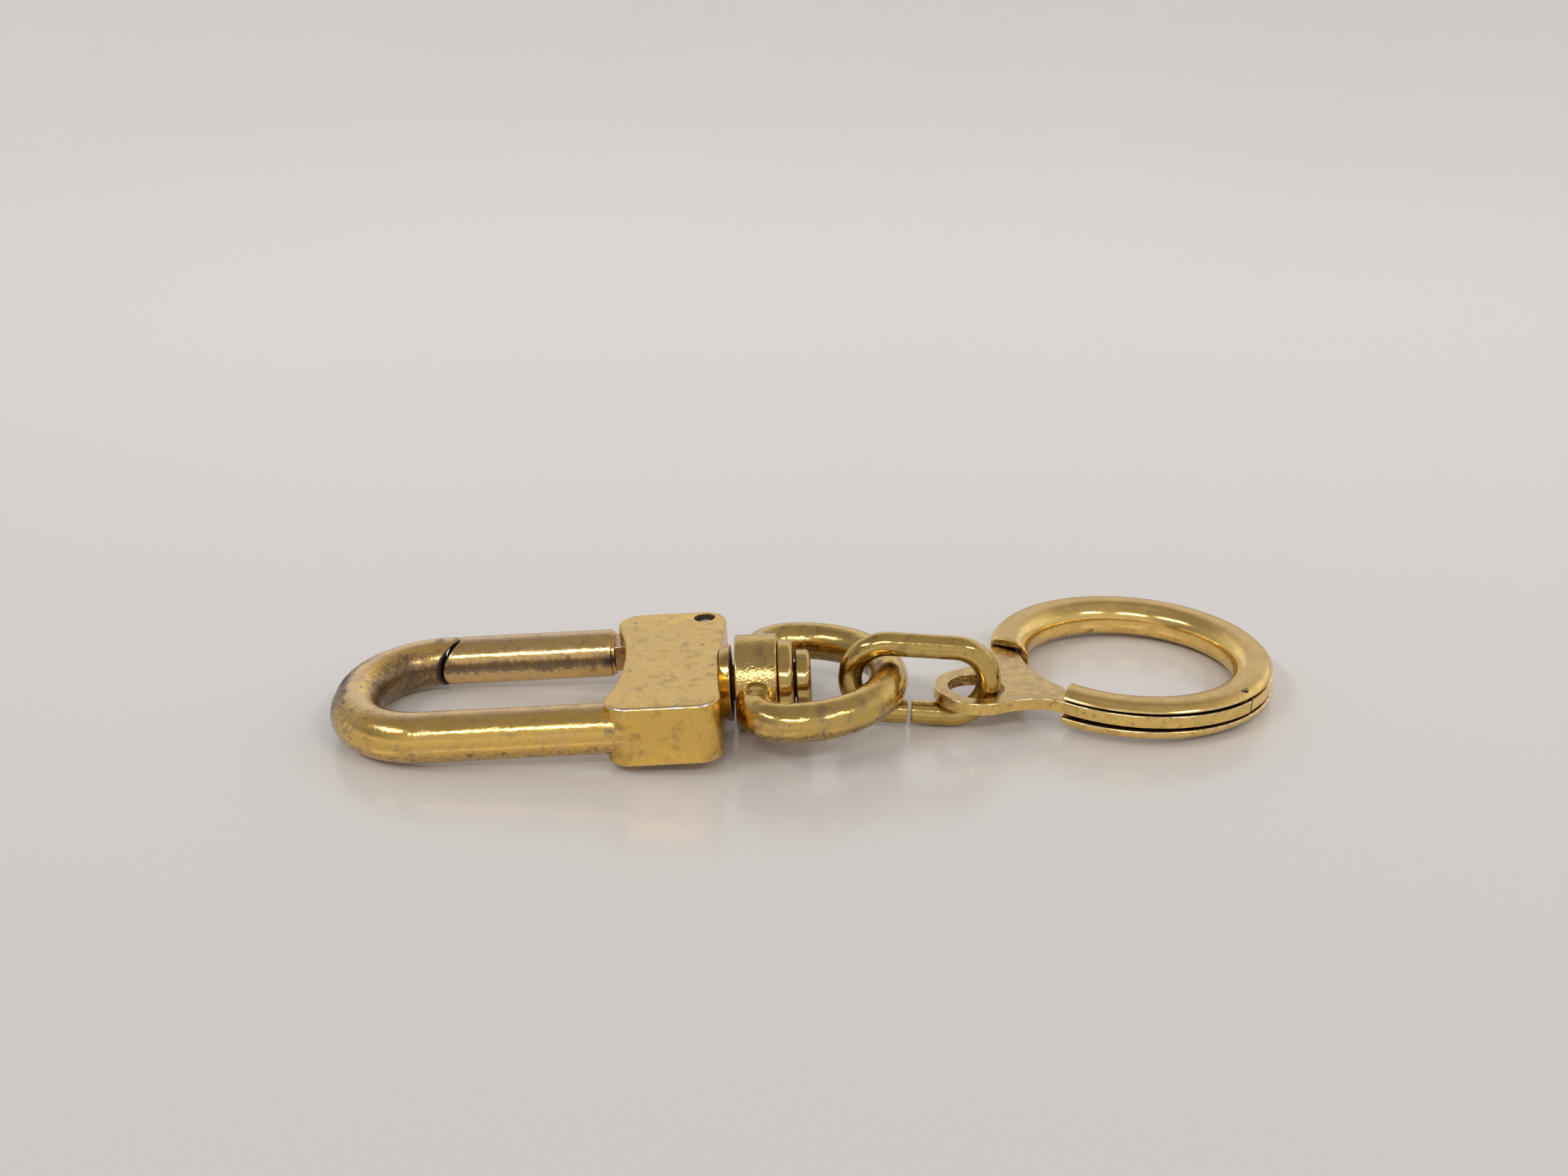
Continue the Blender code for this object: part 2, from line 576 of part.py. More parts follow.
def make_link(axis, offset):
    """Stadium of round wire with a narrow cut in its lower run."""
    cut_x = LINK_STRAIGHT * LINK_CUT_SHARE
    right = arc((LINK_HALF, 0), LINK_BEND, -math.pi / 2, math.pi / 2)
    left = arc((-LINK_HALF, 0), LINK_BEND, math.pi / 2, 1.5 * math.pi)
    path = [(cut_x + LINK_CUT / 2, -LINK_BEND)] + right + left + [(cut_x - LINK_CUT / 2, -LINK_BEND)]
    mesh = rod_mesh("link", [(x, 0, z) for x, z in path], LINK_WIRE_RADIUS)
    add_part("chain_link", mesh, BRASS_BRIGHT, axis, offset)


def gap_lines(offset=0.0):
    """The ring's two end lines as (inner point, outer point), moved into the gap by offset."""
    lines = []
    for side, inner, outer in ((1, FRONT_END_INNER_DEG, FRONT_END_OUTER_DEG),
                               (-1, BACK_END_INNER_DEG, BACK_END_OUTER_DEG)):
        near = Vector(polar(RING_INNER_RADIUS, inner, side))
        far = Vector(polar(RING_RADIUS, outer, side))
        away = Vector((far.y - near.y, near.x - far.x)).normalized() * side
        lines.append((near + away * offset, far + away * offset))
    return lines


def flare(side, end_deg):
    """Edge of the tab from its eye to the ring: a curve that leaves both without a kink."""
    start = Vector((-EYE_DISTANCE, side * -EYE_RADIUS))
    end = Vector(polar(ARM_OUTER, end_deg, side))
    along = Vector(polar(1, end_deg - 90, side))
    reach = (end - start).length
    knot_a = start + Vector((reach * NECK_SHARE, 0))
    knot_b = end + along * (reach * FLARE_SHARE)
    count = 10
    points = []
    for i in range(count + 1):
        t = i / count
        points.append(tuple((1 - t) ** 3 * start + 3 * (1 - t) ** 2 * t * knot_a
                            + 3 * (1 - t) * t ** 2 * knot_b + t ** 3 * end))
    return points


def tab_outline():
    """Tab in plan: eye, two flared edges, the tongue at the back end and the long arm at the front."""
    front, back = gap_lines(RUNNING_GAP)
    step = math.radians(5)
    arm_end = polar(ARM_MID, RIVET_DEG)
    points = flare(1, FRONT_END_OUTER_DEG + 1)
    points += arc((0, 0), ARM_OUTER, math.pi + math.radians(FRONT_END_OUTER_DEG + 3),
                  math.pi + math.radians(RIVET_DEG), step)
    points += arc(arm_end, ARM_HALF, math.pi + math.radians(RIVET_DEG),
                  2 * math.pi + math.radians(RIVET_DEG), math.radians(20))[1:]
    front_inner = end_angle(front, ARM_INNER)
    points += arc((0, 0), ARM_INNER, math.pi + math.radians(RIVET_DEG), front_inner, step)[1:]
    back_inner = end_angle(back, ARM_INNER)
    front_step = front_inner - TAB_STEP_RUN / GAP_INNER
    points += arc((0, 0), GAP_INNER, front_step, end_angle(back, GAP_INNER), step)
    tongue_end = math.pi - math.radians(TONGUE_END_DEG)
    points += arc((0, 0), ARM_INNER, back_inner, tongue_end, step)
    points += arc((0, 0), ARM_OUTER, tongue_end + ARM_HALF / ARM_OUTER,
                  math.pi - math.radians(BACK_END_OUTER_DEG + 3), step)
    points += flare(-1, BACK_END_OUTER_DEG + 1)[::-1]
    points += arc((-EYE_DISTANCE, 0), EYE_RADIUS, math.pi / 2, 1.5 * math.pi)[1:-1]
    return points


def end_angle(line, radius):
    """Angle at which an end line crosses a circle about the ring's centre."""
    near, far = line
    span = far - near
    a = span.dot(span)
    b = 2 * near.dot(span)
    c = near.dot(near) - radius ** 2
    t = (-b + math.sqrt(b * b - 4 * a * c)) / (2 * a)
    hit = near + span * t
    return math.atan2(hit.y, hit.x) % (2 * math.pi)


def make_tab(axis, offset):
    """Flat tab plate: its eye takes the link, its arm lies in the ring's slot."""
    lift = Matrix.Translation((0, 0, SLOT_LIFT))
    hole = arc((-EYE_DISTANCE, 0), EYE_HOLE_RADIUS, 0, 2 * math.pi, math.radians(12))[:-1]
    rivet = arc(polar(ARM_MID, RIVET_DEG), RIVET_RADIUS + FIT_GAP, 0, 2 * math.pi, math.radians(22.5))[:-1]
    mesh = plate_mesh("tab", [tab_outline(), hole, rivet], PLATE_THICKNESS, lift)
    add_part("ring_tab", mesh, BRASS_BRIGHT, axis, offset)


def ring_profile():
    """Ring section, a squared oval with a slot in its outer side; outer side runs top to bottom."""
    half_width = RING_WIDTH / 2
    half_height = RING_HEIGHT / 2
    power = 2 / RING_SQUARENESS
    top_lip = SLOT_LIFT + SLOT_HALF
    low_lip = SLOT_LIFT - SLOT_HALF
    start = math.asin((top_lip / half_height) ** (1 / power))
    end = 2 * math.pi - math.asin((-low_lip / half_height) ** (1 / power))
    points = [(WEB_RADIUS, top_lip)]
    for i in range(SECTION_STEPS + 1):
        t = start + (end - start) * i / SECTION_STEPS
        cosine = math.cos(t)
        sine = math.sin(t)
        points.append((RING_MID_RADIUS + half_width * math.copysign(abs(cosine) ** power, cosine),
                       half_height * math.copysign(abs(sine) ** power, sine)))
    points.append((WEB_RADIUS, low_lip))
    return points[::-1]


def slot_fill():
    """Solid part of the ring between the rivet and the tongue, where the slot isn't needed."""
    start = math.pi + math.radians(RIVET_DEG) + CAP_TURN
    end = 3 * math.pi - TONGUE_TURN
    step = math.radians(5)
    outline = arc((0, 0), RING_RADIUS - SLOT_FILL_INSET, start, end, step)
    outline += arc((0, 0), WEB_RADIUS - SLOT_FILL_LAP, end, start, step)
    return plate_mesh("slot_fill", [outline], 2 * (SLOT_HALF + SLOT_FILL_LAP),
                      Matrix.Translation((0, 0, SLOT_LIFT)))


def make_ring(axis, offset):
    """Slotted ring, open where the tab stands, and the rivet it turns on."""
    body = add_part("ring_body", turned_mesh("ring", ring_profile(), RING_STEPS, closed=True),
                    BRASS_BRIGHT, axis, offset)
    wedge = []
    for near, far in gap_lines():
        away = (far - near).normalized()
        wedge.append([tuple(near - away * RING_WIDTH), tuple(far + away * RING_RADIUS)])
    wedge = wedge[0] + wedge[1][::-1]
    boolean(body, plate_mesh("gap", [wedge], RING_HEIGHT + 2 * OVERRUN), 'DIFFERENCE', offset)
    boolean(body, slot_fill(), 'UNION', offset)
    x, y = polar(ARM_MID, RIVET_DEG)
    half = RING_HEIGHT / 2
    boolean(body, upright(x, y, -half - OVERRUN, half + OVERRUN, RIVET_RADIUS + FIT_GAP, "rivet_hole"),
            'DIFFERENCE', offset)
    rivet_end = half - FIT_GAP / 2
    rivet = upright(x, y, -rivet_end, rivet_end, RIVET_RADIUS, "rivet")
    add_part("ring_rivet", rivet, BRASS_DARK, axis, offset)


def main():
    hook_matrix, link_matrix, ring_matrix = place_group_frames()
    hook = make_empty("hook_frame", hook_matrix)
    link = make_empty("link_frame", link_matrix)
    ring = make_empty("ring_frame", ring_matrix)

    pivot = Matrix.Translation((GATE_PIN_X, GATE_PIN_Y, 0))
    gate_axis = make_empty("gate_axis", pivot, hook)
    swivel_axis = make_empty("swivel_axis", droop(), hook)
    bail_end = Matrix.Translation((-LINK_TO_BAIL, 0, 0))
    link_axis = make_empty("link_axis", bail_end, link)
    crossing = tab_pivot(link_matrix, ring_matrix)
    tab_axis = make_empty("tab_axis", crossing, ring)
    rivet_place = Matrix.Translation((*polar(ARM_MID, RIVET_DEG), 0))
    rivet_axis = make_empty("rivet_axis", rivet_place, ring)

    make_hook(hook)
    make_gate(gate_axis, pivot)
    make_swivel_fixed(hook)
    make_swivel_eye(swivel_axis)
    make_link(link_axis, bail_end)
    make_tab(tab_axis, crossing)
    make_ring(rivet_axis, rivet_place)

    bpy.context.view_layer.update()
    for empty in (hook, gate_axis, swivel_axis, link_axis, tab_axis, rivet_axis):
        place = empty.matrix_world
        print(empty.name, [round(v, 6) for v in place.translation],
              "x", [round(v, 5) for v in place.col[0][:3]], "z", [round(v, 5) for v in place.col[2][:3]])


def tab_pivot(link_matrix, ring_matrix):
    """Where the link's right bend passes through the tab, in the ring's frame."""
    bend = ring_matrix.inverted() @ link_matrix @ Vector((LINK_HALF, 0, 0))
    drop = bend.z - SLOT_LIFT
    ahead = math.sqrt(LINK_BEND ** 2 - drop ** 2)
    along = (ring_matrix.inverted() @ link_matrix).to_3x3() @ Vector((1, 0, 0))
    flat = Vector((along.x, along.y, 0)).normalized()
    return Matrix.Translation((bend.x + ahead * flat.x, bend.y + ahead * flat.y, SLOT_LIFT))


for old in list(bpy.data.objects):
    bpy.data.objects.remove(old)
PARTS = make_collection("key_holder")
CUTTERS = make_collection("cutters")
main()
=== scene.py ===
"""Looks of a worn brass key holder: smooth pieces, their finishes and a small studio.

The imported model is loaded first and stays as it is. Every piece below is a surface worked out
from the holder's sizes, set where its node stands, and moves with that node's body.
"""
import math

import bpy
import numpy as np
from mathutils import Matrix, Vector
from mathutils.geometry import tessellate_polygon


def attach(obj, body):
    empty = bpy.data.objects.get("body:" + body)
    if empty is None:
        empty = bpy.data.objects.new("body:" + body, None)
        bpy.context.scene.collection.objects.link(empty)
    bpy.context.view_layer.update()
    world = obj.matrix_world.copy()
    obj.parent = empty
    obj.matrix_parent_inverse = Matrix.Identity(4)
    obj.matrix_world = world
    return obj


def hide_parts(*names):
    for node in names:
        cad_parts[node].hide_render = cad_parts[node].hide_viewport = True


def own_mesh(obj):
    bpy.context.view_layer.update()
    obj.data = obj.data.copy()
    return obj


bl_info = {
    "name": "Brass Key Holder",
    "version": (1, 0, 0),
    "blender": (4, 5, 0),
    "location": "View3D > Sidebar > Key Holder",
    "description": "Smooth pieces, worn brass finishes and a studio for a snap hook key holder",
    "category": "Object",
}

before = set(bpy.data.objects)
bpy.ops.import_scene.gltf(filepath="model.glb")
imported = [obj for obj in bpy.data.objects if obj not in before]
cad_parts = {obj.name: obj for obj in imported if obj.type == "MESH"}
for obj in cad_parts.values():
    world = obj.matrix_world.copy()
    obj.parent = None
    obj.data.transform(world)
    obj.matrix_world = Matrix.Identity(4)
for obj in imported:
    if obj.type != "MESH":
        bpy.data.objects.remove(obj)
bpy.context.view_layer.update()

# Own axes of each group in the model: origin, X direction, Z direction
PLACES = {
    "hook": ((-0.008397, -0.006050, 0.004220), (0.99821, 0.0, 0.05976), (-0.05976, 0.0, 0.99821)),
    "eye": ((-0.008400, -0.006050, 0.004271), (0.99903, 0.0, 0.04407), (-0.04407, 0.0, 0.99903)),
    "link": ((0.009555, -0.005910, 0.004622), (0.99792, 0.0, -0.06454), (0.06454, 0.0, 0.99792)),
    "tab": ((0.030217, 0.002800, 0.002198), (0.88644, 0.46145, -0.03599), (0.03192, 0.01662, 0.99935)),
    "ring": ((0.030217, 0.002800, 0.002198), (0.88670, 0.46158, -0.02549), (0.02261, 0.01177, 0.99968)),
}

# Each piece: the group whose axes it stands on, its body, CAD node, material slot and finish
PIECES = {
    "block": ("hook", "hook", "hook_block", "worn_brass", "Block plating"),
    "bow": ("hook", "hook", "hook_bow", "worn_brass", "Bow plating"),
    "gate": ("hook", "gate", "gate_bar", "dark_brass", "Gate plating"),
    "gate_axle": ("hook", "hook", "gate_pin", "dark_brass", "Pin metal"),
    "gate_coil": ("hook", "hook", "gate_spring", "spring_steel", "Spring wire"),
    "collar": ("hook", "hook", "swivel_collar", "bright_brass", "Turned brass"),
    "washer": ("hook", "hook", "swivel_washer", "bright_brass", "Turned brass"),
    "stud": ("hook", "hook", "swivel_pin", "bright_brass", "Turned brass"),
    "eye": ("eye", "eye", "swivel_eye", "worn_brass", "Eye plating"),
    "link": ("link", "link", "chain_link", "bright_brass", "Link brass"),
    "tab": ("tab", "tab", "ring_tab", "bright_brass", "Tab brass"),
    "key_ring": ("ring", "ring", "ring_body", "bright_brass", "Ring brass"),
    "ring_axle": ("ring", "ring", "ring_rivet", "dark_brass", "Ring brass"),
}

# Camera: where it stands, how far it looks down, turn and roll, and its lens
CAMERA_AT = (-0.0024316, -0.1578168, 0.0782649)
CAMERA_DOWN_DEG = 23.0693
CAMERA_TURN_DEG = -0.1195
CAMERA_ROLL_DEG = 0.1396
FOCAL_PIXELS = 2621.37
PICTURE_WIDTH = 2212
SENSOR_MM = 36.0

# Points round a section, and rows along a path
ROD_SIDES = 72
TURNED_SIDES = 120
BARREL_SIDES = 160
CUTTER_SIDES = 96
PIN_SIDES = 64
COIL_SIDES = 16
COIL_STEPS = 60
ARM_STEPS = 60
BEND_STEPS = 60
FLAT_STEPS = 6
CAP_STEPS = 5
CAP_RINGS = 10
RING_ROWS = 240
BISECTIONS = 40

# Room between pieces, how far a cutter runs past the face it opens, a hair's breadth, the
# smallest face kept and the angle past which an edge is sharp
CLOSE_GAP = 0.0001
FIT_GAP = 0.0002
RUNNING_GAP = 0.00025
OVERRUN = 0.0015
HAIR = 0.00002
LEAST_AREA = 1e-16
SHARP_DEG = 32.0

# Shading: millimetres in a metre, and how deep a bump of height 1 is
MM_IN_METRE = 1000.0
BUMP_DEPTH = 0.00003

# Table: where it begins to rise, sides, and its colour in clouds and near the camera as shares; the
# darker colour near the camera is painted shade
TABLE_FLAT = 1.5
TABLE_SIDES = 128
TABLE_SHADES = ((1.0, 0.98, 0.975), (0.85, 0.835, 0.825))

# Lamps: name, turn, height and width in degrees, brightness; their distance and half height
LAMPS = (("lamp_left", -62.0, 46.0, 36.0, 14.5), ("lamp_middle", -8.0, 42.0, 31.0, 15.5),
         ("lamp_right", 45.0, 42.0, 24.0, 13.0))
LAMP_FAR = 4.0
LAMP_HALF_HIGH = math.radians(2.1)

# Gate: its swing, the slot's rounded lip, the flare of the pin hole and the spring's pitch
GATE_SWING = math.radians(18.0)
SLOT_LIP = math.radians(60.0)
HOLE_FLARE = 0.00008
COIL_PITCH = 0.00085

# Ring, in degrees from the tab's direction: its two ends as (outside, inside), rivet and tongue
FRONT_END = (26.3, 21.6)
BACK_END = (34.2, 25.9)
RIVET_TURN = 107.0
TONGUE_TURN = 46.0

# How dark the bow is where it is darkest, by place; the entries for its low front, low left and
# underside are painted shade, where the undersides face the shaded table
BOW_TARNISH_AND_SHADE = {"inside": 0.84, "inside_shine": 0.36, "outer_left": 0.95, "low_front_shade": 0.52,
               "low_left_shade": 0.88, "tip": 0.75, "low_line": 0.66, "under_shade": 0.35, "seat": 0.45}


def length(name, default, description):
    """A size in metres, shown in the scene's unit."""
    return bpy.props.FloatProperty(name=name, description=description, default=default, min=0.0,
                                   unit='LENGTH', precision=5)


def colour(name, default, description):
    """A colour as red, green and blue between 0 and 1."""
    return bpy.props.FloatVectorProperty(name=name, description=description, default=default, min=0.0,
                                         max=1.0, size=3, subtype='COLOR')


def share(name, default, description):
    """A number between 0 and 1."""
    return bpy.props.FloatProperty(name=name, description=description, default=default, min=0.0,
                                   max=1.0)


class HookSizes(bpy.types.PropertyGroup):
    rod: length("Rod radius", 0.00224, "Radius of the bow and of the gate bar")
    bow: length("Bow radius", 0.00781, "Half the distance between the two arms")
    bow_corner: length("Bow corner", 0.00710, "Radius of the bow's two bends")
    arm: length("Arm length", 0.01673, "From the block's left face to the bow's centre")
    seat: length("Arm seat", 0.00420, "How far the arm runs into the block")
    block_long: length("Block length", 0.01015, "Block, along the hook")
    block_thick: length("Block thickness", 0.00564, "Block, from underside to top")
    block_corner: length("Block corner", 0.00210, "Upright corner radius of the block")
    block_edge: length("Block edge", 0.00030, "Rounding round the block's top and underside")
    left_hollow: length("Left hollow", 0.00120, "Depth of the hollow in the block's left side")
    right_hollow: length("Right hollow", 0.00035, "Depth of the hollow in the block's right side")


class GateSizes(bpy.types.PropertyGroup):
    nose: length("Nose radius", 0.00310, "Radius of the gate's rounded end")
    nose_ahead: length("Nose place", 0.00188, "From the bow's centre to the nose's centre")
    nose_drop: length("Nose drop", 0.00060, "Nose centre below the bar's axis")
    groove: length("Groove radius", 0.00267, "Radius of the hollow in the bow's tip")
    groove_back: length("Groove place", 0.00084, "From the nose's centre to the groove's centre")
    groove_rise: length("Groove rise", 0.00022, "Groove centre above the nose's centre")
    neck: length("Neck length", 0.00030, "Thin neck at the bar's root")
    neck_inset: length("Neck inset", 0.00020, "How much thinner the neck is")
    standoff: length("Standoff", 0.00068, "From the block's horn to the bar's root")
    tongue_thick: length("Tongue thickness", 0.00250, "Tongue between the block's cheeks")
    tongue_wide: length("Tongue width", 0.00330, "Tongue, across")
    pin: length("Gate pin radius", 0.00075, "Pin that the gate turns on")
    recess: length("Pin hole radius", 0.00095, "Hole over the gate pin")
    boss: length("Boss radius", 0.00125, "Round end of the tongue")
    pin_inset: length("Pin inset", 0.00205, "From the block's right side to the gate pin")
    pin_back: length("Pin back", 0.00148, "From the block's back side to the gate pin")
    coil: length("Spring radius", 0.00085, "Coil radius of the gate spring")
    wire: length("Spring wire", 0.00018, "Radius of the spring's wire")
    pocket: length("Spring pocket", 0.00300, "Depth of the spring's hole")
    spring_setback: length("Spring place", 0.00190, "From the block's left face to the spring")


class SwivelSizes(bpy.types.PropertyGroup):
    pin: length("Pin radius", 0.00160, "Shaft of the swivel pin")
    pin_seat: length("Pin seat", 0.00480, "How far the pin runs into the block")
    collar: length("Collar radius", 0.00350, "Collar against the block")
    collar_thick: length("Collar thickness", 0.00075, "Collar, along the pin")
    gap: length("Gap", 0.00042, "Open gap between the collar and the barrel")
    barrel: length("Barrel radius", 0.00431, "Barrel of the swivel eye")
    barrel_long: length("Barrel length", 0.00376, "Barrel, along the pin")
    washer: length("Washer radius", 0.00366, "Washer after the barrel")
    washer_thick: length("Washer thickness", 0.00125, "Washer, along the pin")
    head: length("Head radius", 0.00270, "Head of the swivel pin")
    head_thick: length("Head thickness", 0.00135, "Head, along the pin")
    bail_rod: length("Bail rod", 0.00175, "Radius of the bail's rod")
    bail: length("Bail radius", 0.00850, "Radius of the bail's bow")
    root_bend: length("Root bend", 0.00290, "Bend where the bail leaves the barrel")
    bail_ahead: length("Bail place", 0.00342, "From the barrel's middle to the bail's centre")


class LinkSizes(bpy.types.PropertyGroup):
    wire: length("Wire radius", 0.00110, "Radius of the link's wire")
    straight: length("Straight run", 0.00595, "Straight part between the bends")
    bend: length("Bend radius", 0.00333, "Bend of the wire's centre line")
    cut: length("Cut", 0.00036, "Open cut in the lower run")
    cut_share: bpy.props.FloatProperty(
        name="Cut place", description="Cut from the middle, share of the run",
        default=-0.11, min=-0.5, max=0.5)


class RingSizes(bpy.types.PropertyGroup):
    outer: length("Ring radius", 0.01350, "Outside radius of the key ring")
    wide: length("Ring width", 0.00386, "Ring section, across")
    high: length("Ring height", 0.00354, "Ring section, upright")
    squareness: bpy.props.FloatProperty(name="Squareness", description="Power of the ring's section",
                                        default=2.9, min=2.0, max=12.0)
    inner_power: bpy.props.FloatProperty(name="Inner squareness", description="Power of its inner half",
                                         default=2.15, min=2.0, max=12.0)
    web: length("Web", 0.00125, "Solid part of the section behind the slot")
    slot_lift: length("Slot lift", 0.00020, "Slot's middle above the ring's middle")
    slot_half: length("Half slot", 0.000825, "Half the slot's height")
    lip: length("Lip rounding", 0.00013, "Rounding of the slot's lips and the ring's ends")
    plate: length("Plate thickness", 0.00115, "Tab plate")
    plate_edge: length("Plate edge", 0.00012, "Rounding of the plate's edges")
    plate_sink: length("Plate inset", 0.00015, "Plate's arm, in from the ring's outside")
    fill_sink: length("Fill inset", 0.00018, "Solid part beyond the rivet, in from the ring's outside")
    groove: length("Groove depth", 0.00035, "Groove along each lip of the solid part")
    play: length("Play", 0.00025, "Gap between the plate and the ring")
    gap_inset: length("Gap inset", 0.00091, "Tab's inner edge, out from the ring's inside")
    step_run: length("Step run", 0.00085, "Step at the front end of the tab's inner edge")
    eye_far: length("Eye distance", 0.01740, "From the ring's centre to the tab's eye")
    eye: length("Eye radius", 0.00383, "Outside radius of the tab's eye")
    eye_hole: length("Eye hole", 0.00256, "Radius of the tab's eye hole")
    rivet: length("Rivet radius", 0.00070, "Rivet that the ring turns on")


class HolderFinish(bpy.types.PropertyGroup):
    gold: colour("Gold", (0.84, 0.55, 0.13), "Plating where it is whole")
    tan: colour("Tan", (0.84, 0.585, 0.25), "Plating rubbed dull")
    # brown is also the colour of painted shade on undersides, and pit the near black of painted shade
    # in holes and gaps
    brown: colour("Brown", (0.17, 0.11, 0.065), "Tarnish")
    umber: colour("Umber", (0.36, 0.25, 0.15), "Thin tarnish")
    silver: colour("Silver", (0.86, 0.83, 0.76), "Under-plating at worn edges")
    steel: colour("Steel", (0.45, 0.44, 0.42), "Spring wire")
    pit: colour("Pit", (0.05, 0.03, 0.02), "Bottom of pits")
    mottle: share("Mottle", 0.5, "How much the plating varies")
    table: colour("Table", (0.97, 0.955, 0.94), "Colour of the table")


def unit(vectors):
    return vectors / np.linalg.norm(vectors, axis=-1, keepdims=True)


def smooth(values, low, high):
    """Smooth step: 0 below low, 1 above high, 3t^2 - 2t^3 between."""
    t = np.clip((values - low) / (high - low), 0.0, 1.0)
    return t * t * (3.0 - 2.0 * t)


def place_matrix(group):
    """Matrix whose columns are the group's X, Y = Z x X, Z and origin."""
    origin, x_axis, z_axis = PLACES[group]
    x_axis = Vector(x_axis).normalized()
    z_axis = Vector(z_axis).normalized()
    y_axis = z_axis.cross(x_axis)
    turn = Matrix((x_axis, y_axis, z_axis)).transposed().to_4x4()
    return Matrix.Translation(origin) @ turn


def arc(centre, radius, start, end, count):
    """Circle centre + radius (cos t, sin t) with t from start to end, and its heading."""
    t = np.linspace(start, end, count)
    points = np.asarray(centre) + radius * np.stack([np.cos(t), np.sin(t)], -1)
    heading = np.sign(end - start) * np.stack([-np.sin(t), np.cos(t)], -1)
    return points, heading


def straight(start, end, count):
    """Line start + (end - start) t with t from 0 to 1, and its heading."""
    start = np.asarray(start, float)
    end = np.asarray(end, float)
    t = np.linspace(0.0, 1.0, count)[:, None]
    return start + (end - start) * t, np.repeat(unit(end - start)[None], count, 0)


def run_of(*pieces):
    """Lines and arcs end to end; a joint between two of them is kept once."""
    points = [pieces[0][0]] + [p[0][1:] for p in pieces[1:]]
    heading = [pieces[0][1]] + [p[1][1:] for p in pieces[1:]]
    return np.concatenate(points), np.concatenate(heading)


def travelled(points):
    """Distance along a row of points."""
    steps = np.linalg.norm(np.diff(points, axis=0), axis=-1)
    return np.concatenate([[0.0], np.cumsum(steps)])


def soften(corners, radii, steps=6):
    """Polyline with its corners rounded: each corner P becomes the arc that touches both sides.

    The arc is c + (sin((1-k)f) a + sin(k f) b) / sin f, with a and b from its centre to the two
    touching points and f the angle between them.
    """
    out = []
    count = len(corners)
    for i, radius in enumerate(radii):
        here = np.asarray(corners[i], float)
        if radius == 0.0:
            out.append(here[None])
            continue
        back = unit(np.asarray(corners[i - 1], float) - here)
        ahead = unit(np.asarray(corners[(i + 1) % count], float) - here)
        half = math.acos(float(np.clip(back @ ahead, -1, 1))) / 2
        reach = radius / math.tan(half)
        centre = here + unit(back + ahead) * radius / math.sin(half)
        a = here + back * reach - centre
        b = here + ahead * reach - centre
        f = math.pi - 2 * half
        k = np.linspace(0.0, 1.0, steps + 1)[:, None]
        out.append(centre + (np.sin((1 - k) * f) * a + np.sin(k * f) * b) / math.sin(f))
    return np.concatenate(out)


def full_turn(count=ROD_SIDES):
    """Even angles round a circle, the first not repeated."""
    return np.linspace(0.0, 2 * np.pi, count, endpoint=False)


def net(n, m, start=0, loop=False):
    """Faces between neighbours on n rings of m points; with loop the last ring meets the first."""
    rows = np.arange(n if loop else n - 1)[:, None] * m
    above = (rows + m) % (n * m)
    across = np.arange(m)
    after = (across + 1) % m
    faces = np.stack([rows + across, rows + after, above + after, above + across], -1)
    return start + faces.reshape(-1, 4)


def filling(loops):
    """Triangles that fill flat loops of (x, y, z) and face +Z, numbered through the loops in order."""
    points = np.concatenate(loops)
    found = np.array(tessellate_polygon([[Vector(point) for point in loop] for loop in loops]))
    a, b, c = (points[found[:, i], :2] for i in range(3))
    area = np.cross(b - a, c - a)
    found[area < 0] = found[area < 0][:, ::-1]
    return found[np.abs(area) > LEAST_AREA]


def shell(rings, lay, edge=0.0, tarnish=0.0, film=0.0, loop=False):
    """Closed skin over rings[n, m, 3]: a face between four neighbours, a fan at each end.

    With loop the last ring joins the first and there are no fans.
    """
    n, m = rings.shape[:2]
    points = rings.reshape(-1, 3)
    marks = {"lay": np.broadcast_to(lay, (n, m, 3)).reshape(-1, 3)}
    for name, values in (("edge", edge), ("tarnish", tarnish), ("film", film)):
        marks[name] = np.broadcast_to(values, (n, m)).reshape(-1)
    triangles = np.zeros((0, 3), int)
    if not loop:
        across = np.arange(m)
        after = (across + 1) % m
        last = (n - 1) * m
        first_fan = np.stack([np.full(m, n * m), after, across], -1)
        last_fan = np.stack([np.full(m, n * m + 1), last + across, last + after], -1)
        triangles = np.concatenate([first_fan, last_fan])
        points = np.concatenate([points, rings[:1].mean(1), rings[-1:].mean(1)])
        for name, values in marks.items():
            grid = values.reshape(n, m, -1)
            ends = np.concatenate([grid[:1].mean(1), grid[-1:].mean(1)])
            marks[name] = np.concatenate([values, ends.reshape(2, *values.shape[1:])])
    return turned_out({"points": points, "quads": net(n, m, loop=loop), "triangles": triangles,
                       "marks": marks})


def turned_out(skin):
    """The skin turned so that its volume, the sum of a . (b x c) / 6 over triangles, is positive."""
    p = skin["points"]
    q = skin["quads"]
    t = np.concatenate([q[:, :3], q[:, [0, 2, 3]], skin["triangles"]])
    volume = np.einsum('ij,ij->i', p[t[:, 0]], np.cross(p[t[:, 1]], p[t[:, 2]])).sum()
    if volume < 0:
        skin["quads"] = q[:, ::-1]
        skin["triangles"] = skin["triangles"][:, ::-1]
    return skin


def tube(points, heading, radius, up):
    """Rings of a round rod: P + r (cos v (U x H) + sin v U), U across the path's plane, H its heading.

    lay is the rod unrolled to (distance run, r cos v, r sin v).
    """
    v = full_turn()
    up = np.asarray(up, float)
    side = np.cross(up, heading)
    radius = np.broadcast_to(radius, len(points))[:, None, None]
    spoke = np.cos(v)[None, :, None] * side[:, None] + np.sin(v)[None, :, None] * up
    run = np.broadcast_to(travelled(points)[:, None, None], (len(points), len(v), 1))
    unrolled = radius * np.stack([np.cos(v), np.sin(v)], -1)[None]
    return points[:, None] + radius * spoke, np.concatenate([run, unrolled], -1)


